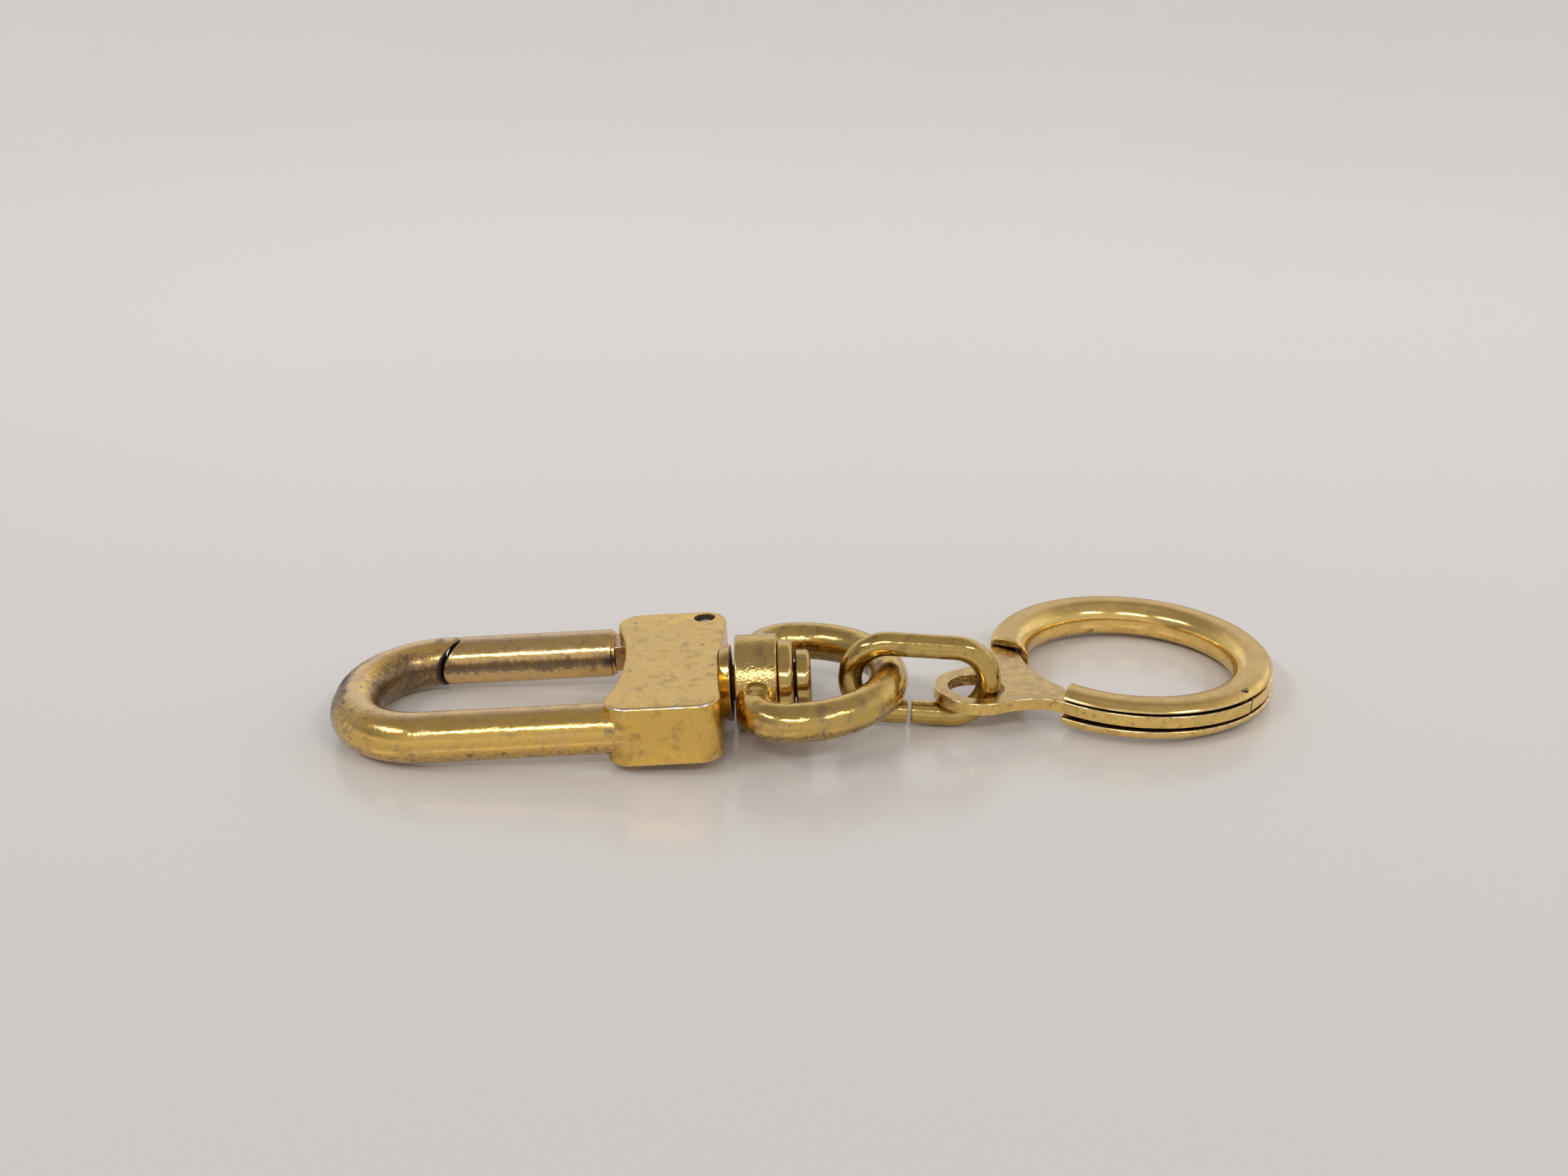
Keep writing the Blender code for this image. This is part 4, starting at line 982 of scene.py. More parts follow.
class HOLDER_OT_eye(bpy.types.Operator):
    """Swivel eye: a turned barrel with the bail's rod grown out of its two sides"""
    bl_idname = "holder.eye"
    bl_label = "Swivel eye"

    def execute(self, context):
        w = context.scene.holder_swivel
        start = hook_lines(context)["barrel"]
        end = start + w.barrel_long
        bore = w.pin + RUNNING_GAP
        profile = soften([(start, bore), (start, w.barrel), (end, w.barrel), (end, bore)],
                         [0.0, 0.00018, 0.00018, 0.0])
        walls = np.linspace(0, 1, 12)[1:-1, None]
        corner = np.argmax(np.diff(profile[:, 0]))
        more = profile[corner] + (profile[corner + 1] - profile[corner]) * walls
        profile = np.concatenate([profile[:corner + 1], more, profile[corner + 1:]])
        rings, lay = turned(profile, BARREL_SIDES)
        lay[..., 0] = profile[:, :1]
        barrel = shell(rings, lay, 0.8 * bend_of(profile, True)[:, None], 0.02, 0.8, loop=True)
        finish_piece(context, "eye", merged([barrel, self.bail(context, w)]))
        return {'FINISHED'}

    def bail(self, context, w):
        """Bail: half its path mirrored in y, its rod swollen by c exp(-(d / c)^1.5) at the barrel."""
        root = hook_lines(context)["bail_root"]
        out_y = w.bail - w.root_bend
        corner_x = root + w.root_bend
        centre = root + w.bail_ahead
        first = (w.pin + w.barrel) / 2
        half, way = run_of(straight((root, first), (root, out_y), 14),
                           arc((corner_x, out_y), w.root_bend, math.pi, math.pi / 2, 30),
                           straight((corner_x, w.bail), (centre, w.bail), 4),
                           arc((centre, 0), w.bail, math.pi / 2, 0.0, 70))
        points = np.concatenate([half, half[::-1][1:] * (1, -1)])
        heading = np.concatenate([way, way[::-1][1:] * (-1, 1)])
        points, heading = (np.concatenate([row, 0 * row[:, :1]], -1) for row in (points, heading))
        run = travelled(points)
        from_end = np.minimum(run, run[-1] - run)
        clear = w.barrel - first
        swell = 0.00055
        radius = w.bail_rod + swell * np.exp(-(np.maximum(from_end - clear * 0.72, 0) / swell) ** 1.5)
        radius = np.minimum(radius, w.barrel_long / 2 - 0.00005)
        rings, lay = tube(points, heading, radius, (0, 0, 1))
        v = full_turn()
        fold = 1 - smooth(from_end, clear + 0.0004, clear + 0.0022)
        far = smooth(points[:, :1], centre + 0.005, centre + 0.0075)
        # painted shade on the rod's lower half, which faces the shaded table
        low_half_shade = smooth(-np.sin(v), 0.0, 0.4)[None]
        tarnish = np.maximum.reduce([0.5 * fold[:, None] * smooth(np.cos(v), 0.2, 0.9),
                                     0.55 * far * smooth(-np.cos(v), -0.6, 0.6),
                                     0.66 * np.repeat(low_half_shade, len(points), 0)])
        film = 0.5 * np.maximum(smooth(np.sin(v), 0.3, 0.9), 0.3)[None]
        return shell(rings, lay, 0.0, tarnish, film)


class HOLDER_OT_link(bpy.types.Operator):
    """Chain link: round wire bent to a long oval, its two ends cut square"""
    bl_idname = "holder.link"
    bl_label = "Link"

    def execute(self, context):
        k = context.scene.holder_link
        half = k.straight / 2
        cut = k.straight * k.cut_share
        plan, way = run_of(straight((cut + k.cut / 2, -k.bend), (half, -k.bend), 20),
                           arc((half, 0), k.bend, -math.pi / 2, math.pi / 2, 80),
                           straight((half, k.bend), (-half, k.bend), 30),
                           arc((-half, 0), k.bend, math.pi / 2, 1.5 * math.pi, 80),
                           straight((-half, -k.bend), (cut - k.cut / 2, -k.bend), 20))
        points, heading = (np.stack([row[:, 0], 0 * row[:, 0], row[:, 1]], -1) for row in (plan, way))
        points, heading, radii = cut_ends(points, heading, k.wire, 0.00007)
        rings, lay = tube(points, heading, radii, (0, 1, 0))
        inwards = -((rings - points[:, None]) * unit(points)[:, None]).sum(-1) / k.wire
        bends = smooth(np.abs(points[:, 0]), half * 0.5, half + k.bend * 0.6)[:, None]
        # darker on the inner side of the loop, more at the bends; painted shade on the wire's underside
        below = smooth(-rings[..., 2] / k.wire + points[:, 2:] / k.wire, 0.1, 0.9) * 0.52
        tarnish = np.maximum(smooth(inwards, 0.35, 0.95) * (0.35 + 0.3 * bends), below)
        cut_face = np.zeros((len(points), 1))
        cut_face[:4] = cut_face[-4:] = 0.6
        film = smooth(np.abs(np.sin(full_turn())), 0.5, 1.0)[None] * 0.25
        finish_piece(context, "link", shell(rings, lay, cut_face, tarnish, film))
        return {'FINISHED'}


def around_ring(radius, degrees, side=1.0):
    """Point r (cos a, sin a) round the ring, a counted from the tab's direction, front side first."""
    angle = np.pi + side * np.radians(degrees)
    return np.stack([radius * np.cos(angle), radius * np.sin(angle)], -1)


def arm_sides(q):
    """Outer and inner radius of the tab's arm."""
    return q.outer - q.plate_sink, q.outer - q.wide + q.web + q.play


def arm_middle(q):
    """Radius of the middle of the tab's arm, where the rivet stands."""
    return sum(arm_sides(q)) / 2


def end_line(q, which, shift=0.0):
    """A ring end as (near, far) points in plan, moved by shift out of the ring into the gap."""
    outer, inner = (FRONT_END, BACK_END)[which]
    side = (1.0, -1.0)[which]
    near = around_ring(q.outer - q.wide, inner, side)
    far = around_ring(q.outer, outer, side)
    away = unit(np.array([far[1] - near[1], near[0] - far[0]])) * side
    return near + away * shift, far + away * shift


def crossing(line, radius):
    """Angle at which a line meets circles of these radii: the far root of |near + t span| = r."""
    near, far = line
    span = far - near
    a = span @ span
    b = 2 * near @ span
    c = near @ near - radius ** 2
    t = (-b + np.sqrt(b * b - 4 * a * c)) / (2 * a)
    hit = near + np.asarray(t)[..., None] * span
    return np.mod(np.arctan2(hit[..., 1], hit[..., 0]), 2 * np.pi)


def flare_line(q, side, end_deg):
    """Tab edge from eye to ring: the Bezier curve (1-t)^3 A + 3(1-t)^2 t B + 3(1-t) t^2 C + t^3 D."""
    start = np.array([-q.eye_far, side * -q.eye])
    end = around_ring(q.outer - q.plate_sink, end_deg, side)
    along = around_ring(1.0, end_deg - 90, side)
    reach = np.linalg.norm(end - start)
    b = start + np.array([reach * 0.62, 0.0])
    c = end + along * reach * 0.24
    t = np.linspace(0.0, 1.0, 36)[:, None]
    return (1 - t) ** 3 * start + 3 * (1 - t) ** 2 * t * b + 3 * (1 - t) * t ** 2 * c + t ** 3 * end


def tab_outline(context):
    """Tab in plan: eye, two flared edges, the short tongue behind and the long arm in front."""
    q = context.scene.holder_ring
    outer, inner = arm_sides(q)
    half = (outer - inner) / 2
    gap_inner = q.outer - q.wide + q.gap_inset
    front = end_line(q, 0, q.play)
    back = end_line(q, 1, q.play)
    pi = math.pi
    rivet = pi + math.radians(RIVET_TURN)
    front_inner = float(crossing(front, inner))
    tongue_end = pi - math.radians(TONGUE_TURN)
    return np.concatenate([
        flare_line(q, 1, FRONT_END[0] + 1),
        arc((0, 0), outer, pi + math.radians(FRONT_END[0] + 3), rivet, 60)[0],
        arc(around_ring(arm_middle(q), RIVET_TURN), half, rivet, 2 * pi + math.radians(RIVET_TURN),
            20)[0][1:],
        arc((0, 0), inner, rivet, front_inner, 60)[0][1:],
        arc((0, 0), gap_inner, front_inner - q.step_run / gap_inner, float(crossing(back, gap_inner)),
            24)[0],
        arc((0, 0), inner, float(crossing(back, inner)), tongue_end, 10)[0],
        arc((0, 0), outer, tongue_end + half / outer, pi - math.radians(BACK_END[0] + 3), 10)[0],
        flare_line(q, -1, BACK_END[0] + 1)[::-1],
        arc((-q.eye_far, 0), q.eye, pi / 2, 1.5 * pi, 48)[0][1:-1]])


class HOLDER_OT_tab(bpy.types.Operator):
    """Tab plate: flat, with rounded edges, its eye on the link and its arm in the ring's slot"""
    bl_idname = "holder.tab"
    bl_label = "Tab"

    def execute(self, context):
        q = context.scene.holder_ring
        hole = arc((-q.eye_far, 0), q.eye_hole, 2 * math.pi, 0.0, 97)[0][:-1]
        low = q.slot_lift - q.plate / 2 - HAIR
        high = q.slot_lift + q.plate / 2
        skin = slab([tab_outline(context), hole], low, high, q.plate_edge)
        points = skin["points"]
        near_hole = np.hypot(points[:, 0] + q.eye_far, points[:, 1])
        band = 0.0002
        wall = smooth(points[:, 2], low, low + band) * (1 - smooth(points[:, 2], high - band, high))
        # painted shade on the eye hole's wall, near black
        skin["marks"]["tarnish"] = 0.95 * wall * (near_hole < q.eye_hole + band)
        finish_piece(context, "tab", skin)
        return {'FINISHED'}


def ring_section(q):
    """Section of the ring as (r, z): the squared oval |r/a|^n + |z/b|^n = 1, slotted outside.

    n is smaller, so rounder, on the inner half. The slot's floor comes first.
    """
    a = q.wide / 2
    b = q.high / 2
    top = q.slot_lift + q.slot_half
    low = q.slot_lift - q.slot_half
    middle = q.outer - a
    web = q.outer - q.wide + q.web

    def oval(t):
        power = 2 / np.where(np.cos(t) < 0, q.inner_power, q.squareness)
        return np.stack([middle + a * np.sign(np.cos(t)) * np.abs(np.cos(t)) ** power,
                         b * np.sign(np.sin(t)) * np.abs(np.sin(t)) ** power], -1)

    start = math.asin((top / b) ** (q.squareness / 2))
    end = 2 * math.pi - math.asin((-low / b) ** (q.squareness / 2))
    body = oval(np.linspace(start, end, 600))
    distance = travelled(body)
    even = np.linspace(q.lip * 1.6, distance[-1] - q.lip * 1.6, 110)
    body_even = np.stack([np.interp(even, distance, body[:, i]) for i in (0, 1)], -1)
    step = 0.00022
    corners = np.concatenate([[(web, low), (web, low + step), (web, low + step * 1.3),
                               (web, top - step * 1.3), (web, top - step), (web, top)],
                              body[:1], body_even, body[-1:]])
    radii = [q.lip / 2, 0.0, 0.0, 0.0, 0.0, q.lip / 2, q.lip] + [0.0] * len(body_even) + [q.lip]
    return soften(corners, radii, 5)


def slot_floor(q, angles):
    """Slot floor along the ring: its radius, its angle and 1 where it is filled, for each row.

    Up to the rivet it is the web; then it follows the circle about the rivet that the tab's arm
    turns in, r = m + R sin f at R cos f beyond the rivet; the rest is filled up to the tongue.
    """
    web = q.outer - q.wide + q.web
    full = q.outer - q.fill_sink
    middle = arm_middle(q)
    room = q.outer - q.plate_sink - middle + 0.00005
    rivet = math.pi + math.radians(RIVET_TURN)
    tongue = 3 * math.pi - math.radians(TONGUE_TURN) - q.play / middle
    f = np.linspace(-math.pi / 2, math.asin((full - middle) / room), 14)
    wall_r = middle + room * np.sin(f)
    wall_a = rivet + room * np.cos(f) / wall_r
    before = angles[angles < rivet - 0.01]
    between = angles[(angles > wall_a[-1] + 0.14) & (angles < tongue - 0.02)]
    after = angles[angles > tongue + 0.02]
    spread = np.linspace(rivet, wall_a[-1] + 0.12, 14)
    rows = np.concatenate([before, spread, between, [tongue, tongue + 0.0005], after])
    floor_r = np.concatenate([np.full(len(before), web), wall_r, np.full(len(between) + 1, full),
                              np.full(len(after) + 1, web)])
    floor_a = np.concatenate([before, wall_a, between, [tongue, tongue + 0.0005], after])
    filled = np.concatenate([np.zeros(len(before)), np.ones(len(wall_r) + len(between) + 1),
                             np.zeros(len(after) + 1)])
    return rows, floor_r, floor_a, filled


class HOLDER_OT_ring(bpy.types.Operator):
    """Key ring: a slotted section carried round between two slanting end faces"""
    bl_idname = "holder.ring"
    bl_label = "Key ring"

    def execute(self, context):
        q = context.scene.holder_ring
        section = ring_section(q)
        off_slot = np.abs(section[:, 1] - q.slot_lift)
        floor = np.abs(section[:, 0] - (q.outer - q.wide + q.web)) < q.lip / 2 + 1e-7
        floor &= off_slot < q.slot_half + 1e-6
        inner_floor = floor & (off_slot < q.slot_half - 0.00024)
        if np.cross(section, np.roll(section, -1, 0)).sum() < 0:
            section, floor, inner_floor = section[::-1], floor[::-1], inner_floor[::-1]
        normal = edge_normals(section)
        k = np.linspace(np.pi / 2, 0.0, 5)
        thin = q.lip * (1 - np.cos(k))
        back_off = q.lip * (1 - np.sin(k))
        first, last = (np.array([crossing(end_line(q, which, -s), (section - normal * t)[:, 0])
                                 for s, t in zip(back_off, thin)]) for which in (0, 1))
        last = (last + 2 * np.pi)[::-1]
        rows, floor_r, floor_a, filled = slot_floor(
            q, np.linspace(first[-1].max() + 0.004, last[0].min() - 0.004, RING_ROWS))
        body = np.repeat(rows[:, None], len(section), 1)
        body[:, floor] = floor_a[:, None]
        angles = np.concatenate([first, body, last])
        insets = np.concatenate([thin, np.zeros(len(rows)), thin[::-1]])
        plan = section[None] - normal[None] * insets[:, None, None]
        r, z = plan[..., 0].copy(), plan[..., 1]
        sunk = np.where(inner_floor, 0.0, q.groove)[None] * filled[:, None]
        inside = slice(len(first), len(first) + len(rows))
        raised = section[None, :, 0] + (floor_r - floor_r[0])[:, None] - sunk
        r[inside] = np.where(floor[None], raised, r[inside])
        rings = np.stack([r * np.cos(angles), r * np.sin(angles), z], -1)
        n, m = r.shape
        cap = filling([np.column_stack([plan[0], np.zeros(m)])])
        lips = bend_of(section, True) * ~floor
        ends = np.sin(2 * np.concatenate([k, np.zeros(len(rows)), k[::-1]]))
        worn = np.maximum(lips[None], 0.8 * ends[:, None] * ~floor[None])
        film = np.broadcast_to(smooth(np.abs(normal[:, 1]), 0.86, 0.985), (n, m))
        # painted shade: the slot's floor, away from its mouth, is near black
        deep = floor[None] & (r < q.outer - 0.0004)
        capped = np.zeros((n, 1))
        capped[[0, -1]] = 0.55
        # painted shade on the lower leaf, below the slot
        lower_leaf_shade = 0.32 * (z < q.slot_lift - q.slot_half - 0.00005)
        tarnish = np.maximum.reduce([deep * 1.0, np.repeat(capped, m, 1), lower_leaf_shade])
        marks = {"lay": np.stack([angles * q.outer, r, z], -1).reshape(-1, 3), "edge": worn.reshape(-1),
                 "tarnish": tarnish.reshape(-1), "film": film.reshape(-1)}
        skin = {"points": rings.reshape(-1, 3), "quads": net(n, m), "marks": marks,
                "triangles": np.concatenate([cap[:, ::-1], cap + (n - 1) * m])}
        finish_piece(context, "key_ring", turned_out(skin))
        return {'FINISHED'}


def feed(tree, socket, value):
    """Links a socket to another one, or sets its own value."""
    if isinstance(value, bpy.types.NodeSocket):
        tree.links.new(value, socket)
    else:
        socket.default_value = value


def add_node(tree, kind, settings=None, **inputs):
    """New node; settings are its own values, inputs go to sockets by name, or by number as i0, i1."""
    node = tree.nodes.new(kind)
    for name, value in (settings or {}).items():
        setattr(node, name, value)
    for name, value in inputs.items():
        feed(tree, node.inputs[name] if name in node.inputs else node.inputs[int(name[1:])], value)
    return node


def maths(tree, operation, a, b=0.0, clamp=False):
    """Result of one step of arithmetic on values."""
    return add_node(tree, 'ShaderNodeMath', {"operation": operation, "use_clamp": clamp}, i0=a,
                    i1=b).outputs[0]


def vectors(tree, operation, a, **inputs):
    """Result of one step of arithmetic on vectors."""
    return add_node(tree, 'ShaderNodeVectorMath', {"operation": operation}, i0=a, **inputs).outputs[0]


def summed(tree, base, *terms, clamp=False):
    """base plus (value - middle) * factor for each term (value, factor) or (value, factor, middle)."""
    for i, (value, factor, *middle) in enumerate(terms):
        if middle:
            value = maths(tree, 'SUBTRACT', value, middle[0])
        last = i == len(terms) - 1
        base = maths(tree, 'ADD', base, maths(tree, 'MULTIPLY', value, factor), clamp and last)
    return base


def mix_colour(tree, factor, a, b):
    """Colour a where factor is 0 and b where it is 1."""
    node = add_node(tree, 'ShaderNodeMix', {"data_type": 'RGBA'}, i0=factor)
    for index, value in ((6, a), (7, b)):
        feed(tree, node.inputs[index], (*value, 1.0) if isinstance(value, tuple) else value)
    return node.outputs[2]


def layered(tree, colour, *layers):
    """Layers (mask, strength, colour) one over the other."""
    for mask, strength, tint in layers:
        colour = mix_colour(tree, maths(tree, 'MULTIPLY', mask, strength), colour, tint)
    return colour


def ranged(tree, value, low, high, to_low=0.0, to_high=1.0):
    """Smooth step of a value between low and high."""
    return add_node(tree, 'ShaderNodeMapRange', {"interpolation_type": 'SMOOTHSTEP'}, i0=value, i1=low,
                    i2=high, i3=to_low, i4=to_high).outputs[0]


def per_mm(tree, size):
    """Texture scale for a size in millimetres."""
    return maths(tree, 'DIVIDE', MM_IN_METRE, size)


def noise(tree, place, scale, detail, rough=0.5, output="Fac"):
    """Cloudy noise as a value, or as a colour by that output."""
    return add_node(tree, 'ShaderNodeTexNoise', Vector=place, Scale=scale, Detail=detail,
                    Roughness=rough).outputs[output]


def patches_mask(tree, given):
    """Soft cloudy patches: noise of a given size in millimetres, cut between two levels."""
    cloud = noise(tree, given["Place"], per_mm(tree, given["Size"]), 5.0, 0.62)
    return ranged(tree, cloud, given["Low"], given["High"])


def specks_mask(tree, given):
    """Scattered ragged dots: cells nearer than Size to their middle, a Share of them."""
    scale = per_mm(tree, given["Spacing"])
    ragged = noise(tree, given["Place"], maths(tree, 'MULTIPLY', scale, 2.5), 2.0, output="Color")
    push = vectors(tree, 'SCALE', ragged, Scale=0.55)
    moved = vectors(tree, 'ADD', vectors(tree, 'SCALE', given["Place"], Scale=scale), i1=push)
    cells = add_node(tree, 'ShaderNodeTexVoronoi', Vector=moved, Scale=1.0).outputs
    dot = ranged(tree, cells["Distance"], given["Size"], maths(tree, 'MULTIPLY', given["Size"], 0.45))
    draw = add_node(tree, 'ShaderNodeSeparateColor', i0=cells["Color"]).outputs[0]
    return maths(tree, 'MULTIPLY', dot, maths(tree, 'LESS_THAN', draw, given["Share"]))


def hairlines_mask(tree, given):
    """Fine lines along X of the place given: noise drawn out to Length and as narrow as Width."""
    across = per_mm(tree, given["Width"])
    scale = add_node(tree, 'ShaderNodeCombineXYZ', X=per_mm(tree, given["Length"]), Y=across, Z=across)
    drawn = vectors(tree, 'MULTIPLY', given["Place"], i1=scale.outputs[0])
    return noise(tree, drawn, 1.0, 4.0, 0.6)


def wear_and_highlight_mask(tree, given):
    """Rubbed edges, also used for painted highlight on rims: the edge mark squared, broken up by noise,
    above a level set by Amount.
    """
    cloud = noise(tree, given["Place"], per_mm(tree, given["Size"]), 3.0)
    broken = summed(tree, maths(tree, 'POWER', given["Edge"], 2.0), (cloud, 1.8, 0.5))
    level = maths(tree, 'SUBTRACT', 1.1, given["Amount"])
    return ranged(tree, broken, level, maths(tree, 'ADD', level, 0.35))


MASKS = {
    "Patches": (patches_mask, ("Place", "Size", "Low", "High")),
    "Specks": (specks_mask, ("Place", "Spacing", "Size", "Share")),
    "Hairlines": (hairlines_mask, ("Place", "Length", "Width")),
    "Edge wear": (wear_and_highlight_mask, ("Edge", "Place", "Size", "Amount")),
}


def mask_group(name):
    """Shader group with named inputs and one mask, built the first time it is asked for."""
    made = bpy.data.node_groups.get(name)
    if made:
        return made
    build, titles = MASKS[name]
    group = bpy.data.node_groups.new(name, 'ShaderNodeTree')
    for title in titles:
        kind = 'NodeSocketVector' if title == "Place" else 'NodeSocketFloat'
        group.interface.new_socket(title, in_out='INPUT', socket_type=kind)
    group.interface.new_socket("Mask", in_out='OUTPUT', socket_type='NodeSocketFloat')
    given = group.nodes.new('NodeGroupInput').outputs
    end = group.nodes.new('NodeGroupOutput')
    group.links.new(build(group, given), end.inputs["Mask"])
    return group


def place_mask(tree, name, **inputs):
    """One of the mask groups with its own values."""
    return add_node(tree, 'ShaderNodeGroup', {"node_tree": mask_group(name)}, **inputs).outputs[0]


def mark(tree, name, output="Fac"):
    """One of the marks that mesh_of puts on the points."""
    settings = {"attribute_name": name, "attribute_type": 'GEOMETRY'}
    return add_node(tree, 'ShaderNodeAttribute', settings).outputs[output]


def new_material(name):
    """Material with its tree, its shader and the object's own coordinates."""
    material = bpy.data.materials.new(name)
    material.use_nodes = True
    tree = material.node_tree
    here = add_node(tree, 'ShaderNodeTexCoord').outputs["Object"]
    return material, tree, tree.nodes["Principled BSDF"], here


def worn_metal(name, own, main, second, thin, deep, edge_colour, roughness, film=0.6, film_rough=0.12,
               film_grit=0.0, patch_mm=2.4, stain=0.35, stain_mm=1.1, speck_mm=0.9, speck_share=0.22,
               pit_mm=3.2, pit_share=0.10, line_long=9.0, line_wide=0.10, line_depth=0.035, wave=0.5,
               wave_mm=1.6, grain=0.5, grit=0.0, edge_amount=0.55, coat=0.0):
    """Worn plating in one material.

    Main colour, with the second colour in soft patches and where the film mark is; thin tarnish in
    small stains; the deep colour where the tarnish mark is, broken up by noise, as tarnish and painted
    shade; near-black painted shade where that mark is highest, in holes and gaps; brown specks and dark
    pits; edges in the edge colour, as rubbed plating and on some finishes as painted highlight.
    Hairlines, waves, pits and grit move the normal. The coat is left off where the near-black painted
    shade is.
    """
    material, tree, shader, here = new_material(name)
    edge, tarnish, film_mark = (mark(tree, title) for title in ("edge", "tarnish", "film"))
    soft = place_mask(tree, "Patches", Place=here, Size=patch_mm, Low=0.42, High=0.62)
    small = place_mask(tree, "Patches", Place=here, Size=stain_mm, Low=0.50, High=0.70)
    fine = place_mask(tree, "Patches", Place=here, Size=0.35, Low=0.35, High=0.65)
    specks = place_mask(tree, "Specks", Place=here, Spacing=speck_mm, Size=0.22, Share=speck_share)
    pits = place_mask(tree, "Specks", Place=here, Spacing=pit_mm, Size=0.085, Share=pit_share)
    lines = place_mask(tree, "Hairlines", Place=mark(tree, "lay", "Vector"), Length=line_long,
                       Width=line_wide)
    # edge colour: rubbed plating, and painted highlight where a finish gives a light edge colour
    worn = place_mask(tree, "Edge wear", Edge=edge, Place=here, Size=0.8, Amount=edge_amount)

    blend = summed(tree, maths(tree, 'MULTIPLY', film_mark, film), (soft, own.mottle * 0.6), clamp=True)
    uneven = summed(tree, tarnish, (fine, 0.22, 0.5), (small, 0.35, 0.35))
    marked = ranged(tree, tarnish, 0.0, 0.2)
    # deep colour by the tarnish mark: tarnish and painted shade
    tarnish_and_shade = maths(tree, 'MULTIPLY', ranged(tree, uneven, 0.18, 0.85), marked)
    # painted shade: near black in holes and gaps, where the tarnish mark is at its highest
    gap_shade = ranged(tree, tarnish, 0.90, 0.98)
    pit = tuple(own.pit)
    colour = layered(tree, main, (blend, 1.0, second), (small, stain, thin), (fine, 0.14, thin),
                     (tarnish_and_shade, 1.0, deep), (specks, 0.55, thin), (pits, 0.85, pit),
                     (worn, 1.0, edge_colour), (gap_shade, 0.92, pit))
    rough = summed(tree, roughness, (blend, film_rough), (tarnish_and_shade, 0.16), (lines, 0.18, 0.5),
                   (specks, 0.12), (worn, -0.45 * roughness), (gap_shade, 0.40), clamp=True)
    metallic = summed(tree, 1.0, (tarnish_and_shade, -0.25), (pits, -0.5), (gap_shade, -0.7), clamp=True)
    waves = noise(tree, here, MM_IN_METRE / wave_mm, 1.5)
    grains = noise(tree, here, MM_IN_METRE / 0.16, 3.0)
    height = summed(tree, maths(tree, 'MULTIPLY', waves, wave), (lines, line_depth),
                    (grains, 0.05 * grain), (specks, -0.06), (pits, -1.4))
    if grit:
        coarse = summed(tree, grit, (ranged(tree, film_mark, 0.5, 0.8), film_grit))
        height = summed(tree, height, (noise(tree, here, MM_IN_METRE / 0.22, 2.0), coarse))
    bump = add_node(tree, 'ShaderNodeBump', Height=height, Distance=BUMP_DEPTH, Strength=1.0)
    for title, value in (("Base Color", colour), ("Roughness", rough), ("Metallic", metallic),
                         ("Normal", bump.outputs[0])):
        tree.links.new(value, shader.inputs[title])
    if coat:
        glaze = maths(tree, 'MULTIPLY', maths(tree, 'SUBTRACT', 1.0, gap_shade), coat)
        tree.links.new(glaze, shader.inputs["Coat Weight"])
        shader.inputs["Coat Roughness"].default_value = 0.10
    return material
